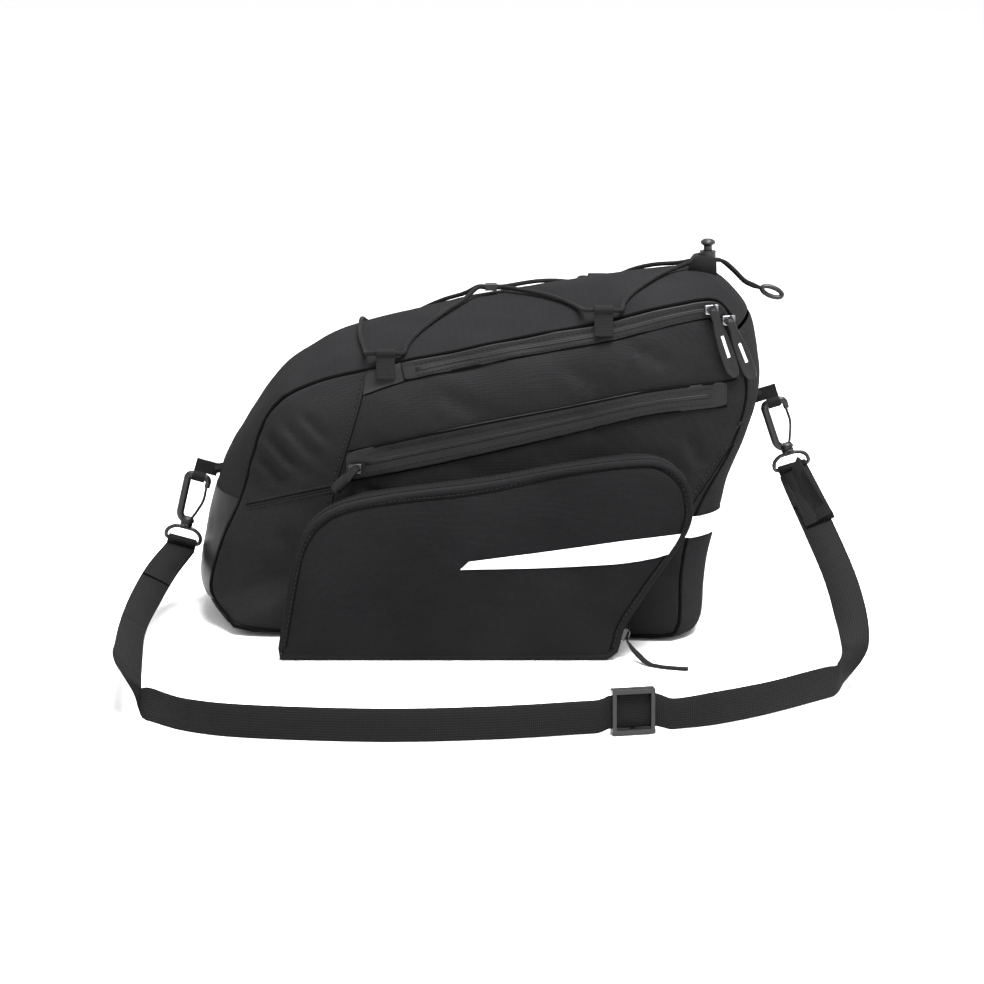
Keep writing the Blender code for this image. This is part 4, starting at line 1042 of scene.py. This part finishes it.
# %% Snap hooks
HOOKS = {"front": (Vector((-0.2167, 0, 0.1049)), 15.5), "rear": (Vector((0.2296, 0, 0.1639)), -17.0)}
HOOK_LENGTH, HOOK_HALF, EYE_HALF, EYE_DROP = 0.041, 0.00825, 0.01365, 0.0112
COLLAR = [
    # radius in millimetres, share of the hook's length
    *((0.0, 0.84), (4.1, 0.84), (5.2, 0.87), (5.4, 0.92), (4.5, 0.935)),
    *((4.5, 0.955), (5.0, 0.97), (4.2, 1.02), (0.0, 1.03)),
]
eye_bar = {}
for end, (bar, lean) in HOOKS.items():
    lean = math.radians(lean)
    down = Vector((-math.sin(lean), 0, -math.cos(lean)))
    across = Vector((math.cos(lean), 0, -math.sin(lean)))

    def at(u, v, bar=bar, across=across, down=down):
        return bar + across * u + down * v

    corners = [
        at(0, HOOK_LENGTH - 0.0025),
        at(-HOOK_HALF * 0.85, HOOK_LENGTH * 0.84),
        at(-HOOK_HALF, 0),
        at(HOOK_HALF, 0),
        at(HOOK_HALF, HOOK_LENGTH * 0.18),
    ]
    path = smooth_line(turned_corners(corners, HOOK_HALF * 0.5), 2)
    places = along_path(path, Vector((0, -1, 0)))
    slim = []
    for k, (middle, way, out) in enumerate(places):
        share = k / (len(places) - 1)
        girth = 1.12 - 0.3 * smooth_step((share - 0.72) / 0.28)
        slim.append((middle, way * girth, out * girth))
    made = piece(f"{end}_hook_bar", sweep(slim, round_rim(0.0027, 12, 0.92)), acetal, smooth=60)
    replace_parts(made, f"{end}_hook")
    bm = bmesh.new()
    verts = [bm.verts.new(at(radius / 1000, HOOK_LENGTH * share)) for radius, share in COLLAR]
    edges = [bm.edges.new(pair) for pair in zip(verts, verts[1:])]
    bmesh.ops.spin(bm, geom=verts + edges, cent=bar, axis=down, angle=math.tau, steps=20, use_merge=True)
    bmesh.ops.remove_doubles(bm, verts=bm.verts, dist=1e-6)
    bmesh.ops.recalc_face_normals(bm, faces=bm.faces)
    piece(f"{end}_swivel", bm, acetal, smooth=40)
    gate = [
        at(HOOK_HALF * 0.95, HOOK_LENGTH * 0.18 + 0.0003),
        at(HOOK_HALF * 0.98, HOOK_LENGTH * 0.45),
        at(HOOK_HALF * 0.62, HOOK_LENGTH * 0.70),
        at(HOOK_HALF * 0.30, HOOK_LENGTH * 0.86),
    ]
    rim = [(u * 0.85, v * 1.5) for u, v in round_rim(0.0013, 8)]
    leaf = sweep(along_path(smooth_line(gate, 5), Vector((0, -1, 0))), rim)
    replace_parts(piece(f"{end}_gate", leaf, black_steel, smooth=60), f"{end}_hook_gate")
    top = HOOK_LENGTH + 0.0019
    corners = [
        at(-EYE_HALF, top + EYE_DROP),
        at(-EYE_HALF, top + EYE_DROP * 0.4),
        at(-EYE_HALF * 0.55, top),
        at(EYE_HALF * 0.55, top),
        at(EYE_HALF, top + EYE_DROP * 0.4),
        at(EYE_HALF, top + EYE_DROP),
    ]
    loop = turned_corners(corners, EYE_DROP * 0.3, True)
    wire = sweep(along_path(loop, Vector((0, -1, 0)), True), round_rim(0.0016, 10), True)
    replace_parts(piece(f"{end}_ring", wire, black_steel, smooth=180), f"{end}_hook_eye")
    eye_bar[end] = (at(0, top + EYE_DROP), across, down)
print("eye bars:", {end: tuple(round(v, 4) for v in place) for end, (place, _, _) in eye_bar.items()})

# %% [markdown]
# The strap is one length of webbing. Its edge-on stand and its folds are given by pairs of
# points, one on each edge, and the webbing is carried from pair to pair. At each end it goes
# round the ring's bar, comes back over itself for a short way and is sewn down.

# %% Shoulder strap
STRAP_ROUTE = [
    # low edge x, y, z, high edge x, y, z, as shares of the spread, the reach and the height
    (-0.4282, 0.130, 0.170, -0.3940, 0.110, 0.125),
    (-0.4365, 0.310, 0.155, -0.4030, 0.300, 0.112),
    (-0.4370, 0.510, 0.150, -0.4065, 0.520, 0.110),
    (-0.4310, 0.700, 0.152, -0.3970, 0.725, 0.104),
    (-0.4240, 0.818, 0.150, -0.3900, 0.850, 0.088),
    (-0.3995, 0.860, 0.076, -0.3885, 0.858, 0.086),
    (-0.3850, 0.866, 0.000, -0.3870, 0.864, 0.087),
    (-0.3350, 0.936, 0.000, -0.3360, 0.933, 0.087),
    (-0.2600, 0.980, 0.000, -0.2605, 0.976, 0.087),
    (-0.1100, 1.005, 0.000, -0.1100, 1.001, 0.087),
    (0.0200, 0.990, 0.000, 0.0200, 0.986, 0.087),
    (0.1280, 0.955, 0.001, 0.1280, 0.951, 0.088),
    (0.1570, 0.947, 0.0150, 0.1570, 0.943, 0.1020),
    (0.1820, 0.939, 0.0150, 0.1820, 0.935, 0.1020),
    (0.2070, 0.931, 0.0150, 0.2070, 0.927, 0.1020),
    (0.2340, 0.922, 0.001, 0.2340, 0.918, 0.082),
    (0.2800, 0.894, 0.000, 0.2800, 0.890, 0.087),
    (0.3450, 0.825, 0.000, 0.3450, 0.822, 0.087),
    (0.4230, 0.716, 0.000, 0.4240, 0.716, 0.087),
    (0.4430, 0.685, 0.035, 0.4350, 0.698, 0.095),
    (0.4673, 0.655, 0.086, 0.4407, 0.662, 0.108),
    (0.4773, 0.615, 0.126, 0.4402, 0.632, 0.132),
    (0.4796, 0.500, 0.180, 0.4410, 0.520, 0.150),
    (0.4700, 0.350, 0.256, 0.4330, 0.360, 0.224),
    (0.4600, 0.200, 0.330, 0.4240, 0.210, 0.297),
]
SPREAD, REACH, STRAP_HALF = 0.590, 0.330, 0.01175
low_edge = [Vector((x * SPREAD, -y * REACH, z * SHARE_Z)) for x, y, z, _, _, _ in STRAP_ROUTE]
high_edge = [Vector((x * SPREAD, -y * REACH, z * SHARE_Z)) for _, _, _, x, y, z in STRAP_ROUTE]
for end, where, turn in (("front", 0, 1), ("rear", len(low_edge), -1)):
    place, across, down = eye_bar[end]
    start = place + down * 0.0064
    low_edge.insert(where, start - across * STRAP_HALF * turn)
    high_edge.insert(where, start + across * STRAP_HALF * turn)
low_edge = smooth_line(low_edge, 7)
high_edge = smooth_line(high_edge, 7)
rulings = []
for k, (low, high) in enumerate(zip(low_edge, high_edge)):
    lift = Vector((0, 0, max(0.0, 0.0009 - min(low.z, high.z))))
    before, after = max(k - 1, 0), min(k + 1, len(low_edge) - 1)
    run = (low_edge[after] + high_edge[after] - low_edge[before] - high_edge[before]).normalized()
    width = high - low
    out = run.cross(width).normalized()
    if out.y > 0:
        out = -out
    rulings.append(((low + high) / 2 + lift, width / (2 * STRAP_HALF), out))
band = sweep(rulings, tape_rim(2 * STRAP_HALF, 0.0017))
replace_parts(piece("strap_webbing", band, webbing, smooth=60), "shoulder_strap")
for end, first in (("front", rulings[:11]), ("rear", rulings[::-1][:11])):
    place, across, down = eye_bar[end]
    front_way = Vector((0, -1, 0))
    lap = [(middle + out * 0.0017, width, out) for middle, width, out in first]
    round_bar = []
    for k in range(11):
        turn = math.radians(-20 + 220 * k / 10)
        round_bar.append(place - down * math.sin(turn) * 0.00265 + front_way * math.cos(turn) * 0.00265)
    path = [lap[0][0] - down * 0.0006, *round_bar, first[0][0] - front_way * 0.0008]
    outs = [front_way] + [(p - place).normalized() for p in round_bar] + [-front_way]
    bend = sweep(along_path(path, outs), tape_rim(0.0228, 0.0016))
    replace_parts(piece(f"{end}_strap_bend", bend, webbing, smooth=60), f"{end}_strap_end")
    piece(f"{end}_strap_lap", sweep(lap, tape_rim(0.0232, 0.0016)), webbing, smooth=60)
    sewn = [(middle + out * 0.0009, width, out) for middle, width, out in lap]
    for index, shift in enumerate((-0.0095, 0.0095)):
        stitches(f"{end}_lap_stitches_{index}", sewn[1:], shift)
print("strap length:", round(sum((b[0] - a[0]).length for a, b in zip(rulings, rulings[1:])), 3), "m")

# %% [markdown]
# The bungee runs through the lock, the side loops and the top clip in one length. The solid
# already follows that route, so the piece is a rounded copy of it with a braided sleeve. Its two
# free ends leave the lock together and meet in a moulded grip, an oval loop for a finger. They
# are short stiff cords, and their route repeats the solids' own. The lock stands
# in a small tent of webbing: a heel towards the nose and a cheek on each side.

# %% Bungee, its free ends and the lock
bm = copy_of("bungee_cord")
bm.normal_update()
for vertex in bm.verts:
    vertex.co += vertex.normal * 0.0004
made = piece("bungee_braid", bm, braid, smooth=180)
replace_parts(rounded(made, 1), "bungee_cord")
grip_low, grip_high = (Vector(corner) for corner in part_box("cord_grip"))
heart = (grip_low + grip_high) / 2
lie = Vector((0.93, 0, -0.37))
oval = []
for k in range(24):
    turn = math.tau * k / 24
    oval.append(heart + lie * 0.0083 * math.cos(turn) + Vector((0.37, 0, 0.93)) * 0.0034 * math.sin(turn))
ring_piece = sweep(along_path(oval, Vector((0, -1, 0)), True), round_rim(0.0019, 10, 1.3), True)
grip = piece("cord_grip_loop", ring_piece, acetal, smooth=180)
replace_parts(grip, "cord_grip")
lock_x = 0.813 * SHARE_X
hole_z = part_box("lock_barrel")[0][2] + 0.0033
TAIL, LOCK_RADIUS = 0.035, 0.0062
DROPS = [(-0.2, 0.0), (-0.08, 0.0), (0.05, 0.0), (0.2, 0.08), (0.4, 0.26), (0.6, 0.46), (0.8, 0.56)]
DROPS += [(0.97, 0.62)]
for word, side in (("left", 1), ("right", -1)):
    points = []
    for along, drop in DROPS:
        apart = 0.0009 * side * smooth_step(along / 0.25) * smooth_step((1 - along) / 0.2)
        place = (lock_x + LOCK_RADIUS + 0.0012 + along * TAIL, -0.0019 * side, hole_z + apart - drop * TAIL)
        points.append(Vector(place))
    points = smooth_line(points, 3)
    curve = bpy.data.curves.new(f"cord_tail_{word}", "CURVE")
    curve.dimensions = "3D"
    spline = curve.splines.new("POLY")
    spline.points.add(len(points) - 1)
    for knot, point in zip(spline.points, points):
        knot.co = (*point, 1)
    curve.bevel_depth = 0.0015
    curve.bevel_resolution = 3
    curve.use_fill_caps = True
    curve.materials.append(braid)
    tail = bpy.data.objects.new(f"cord_tail_{word}", curve)
    bpy.context.scene.collection.objects.link(tail)
    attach(tail, "bag")
    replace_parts(tail, f"cord_end_{word}")
TENT = [
    # side view in millimetres from the foot of the lock
    *((-15.0, -2.0), (-12.6, 4.6), (-10.4, 7.6), (-6.0, 8.6), (0.0, 8.0)),
    *((6.3, 6.6), (6.6, -3.0), (7.2, -12.0), (-6.0, -9.0)),
]
tent_rim = in_mm(TENT)
foot = Vector((lock_x, 0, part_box("lock_seat")[1][2] - 0.0002))


def tent_part(name, rim, rows):
    """A block of webbing with this side view, as wide as its rows of (y, girth)."""
    places = [(foot + Vector((0, y, 0)), Vector((girth, 0, 0)), Vector((0, 0, girth))) for y, girth in rows]
    return piece(name, sweep(places, rim), tab_weave, smooth=50)


for word, side in (("left", -1), ("right", 1)):
    cheek = [(side * 0.0064, 1.0), (side * 0.0071, 0.99), (side * 0.0075, 0.94)]
    tent_part(f"lock_cheek_{word}", tent_rim, cheek)
heel_rim = [(min(u, -0.0066), v) for u, v in tent_rim[:4]] + [(-0.0066, -0.009)]
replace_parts(tent_part("lock_tent", heel_rim, [(-0.0066, 1.0), (0.0, 1.0), (0.0066, 1.0)]), "lock_seat")

# %% [markdown]
# A zip slider is a small cast body with an arched bridge, and a moulded pull hangs from the
# bridge. The pull is a leaf: narrow at its root, wide below its middle, with a slim light bar let
# into its face.

# %% Sliders and pulls
def bridge_over(name, centre, along, out, rise=0.0021):
    steps = ((-0.0038, 0.0), (-0.0026, 0.0018), (0.0, 0.0025), (0.0026, 0.0018), (0.0038, 0.0))
    points = [centre + along * u + out * (rise + v) for u, v in steps]
    arch = sweep(along_path(smooth_line(points, 3), out.cross(along)), round_rim(0.0008, 8, 1.5))
    piece(f"{name}_bridge", arch, black_steel, smooth=60)


PULLS = {
    # name: side, slider x and z, pull tip x and z as shares, half width, extra lean
    "side_zip_left": (-1, -0.415, 0.486, -0.480, 0.425, 0.0044, 0.008),
    "side_zip_right": (1, -0.415, 0.486, -0.480, 0.425, 0.0044, 0.008),
    "main_zip_fore": (-1, 0.800, 0.913, 0.885, 0.728, 0.0055, 0.0),
    "main_zip_aft": (-1, 0.858, 0.883, 0.935, 0.718, 0.0055, 0.0),
}
LEAF = [
    # share of the way down, share of the full width
    *((0.0, 0.50), (0.1, 0.62), (0.22, 0.60), (0.4, 0.85), (0.6, 1.0)),
    *((0.8, 1.0), (0.92, 0.9), (0.98, 0.62), (1.0, 0.4)),
]
for name, (side, x0, z0, x1, z1, half, lean) in PULLS.items():
    fitted(f"{name}_slider", bright_steel if "main" in name else black_steel, 0.0007)
    place, out = on_side(plain_skin, x0 * SHARE_X, z0 * SHARE_Z, side)
    tip, tip_out = on_side(plain_skin, x1 * SHARE_X, z1 * SHARE_Z, side)
    place += out * 0.0026
    tip += tip_out * (0.0046 + lean)
    along = Vector((1, 0, 0))
    along = (along - out * along.dot(out)).normalized()
    bridge_over(name, place + out * 0.0021, along, out)
    top = place + out * 0.0042
    rise = abs((tip - top).normalized().dot(out))
    root = top + out * (0.0014 + 0.004 * rise)
    run = (tip - root).normalized()
    root -= run * 0.003
    face = (out - run * out.dot(run)).normalized()
    leaf = [(root.lerp(tip, share), run.cross(face) * girth, face) for share, girth in LEAF]
    rim = [(u * half / 0.005, v) for u, v in tape_rim(0.010, 0.0022)]
    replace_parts(piece(f"{name}_leaf", sweep(leaf, rim), pull_rubber, smooth=50), f"{name}_pull")
    if half > 0.005:
        light = [(root.lerp(tip, 0.42 + 0.05 * k), run.cross(face), face) for k in range(7)]
        bar = sweep(lifted(light, 0.0011), tape_rim(0.0022, 0.0006))
        piece(f"{name}_light_bar", bar, film, smooth=60)
for word in ("left", "right"):
    fitted(f"{word}_pouch_slider", black_steel, 0.0007)
    low, high = (Vector(corner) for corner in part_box(f"{word}_pouch_slider"))
    run = (pouch_place(*POUCH[-3], 0) - pouch_place(*POUCH[-2], 0)).normalized()
    bridge_over(f"{word}_pouch", (low + high) / 2, run, Vector((run.z, 0, -run.x)), 0.0018)
print("sliders and pulls dressed")
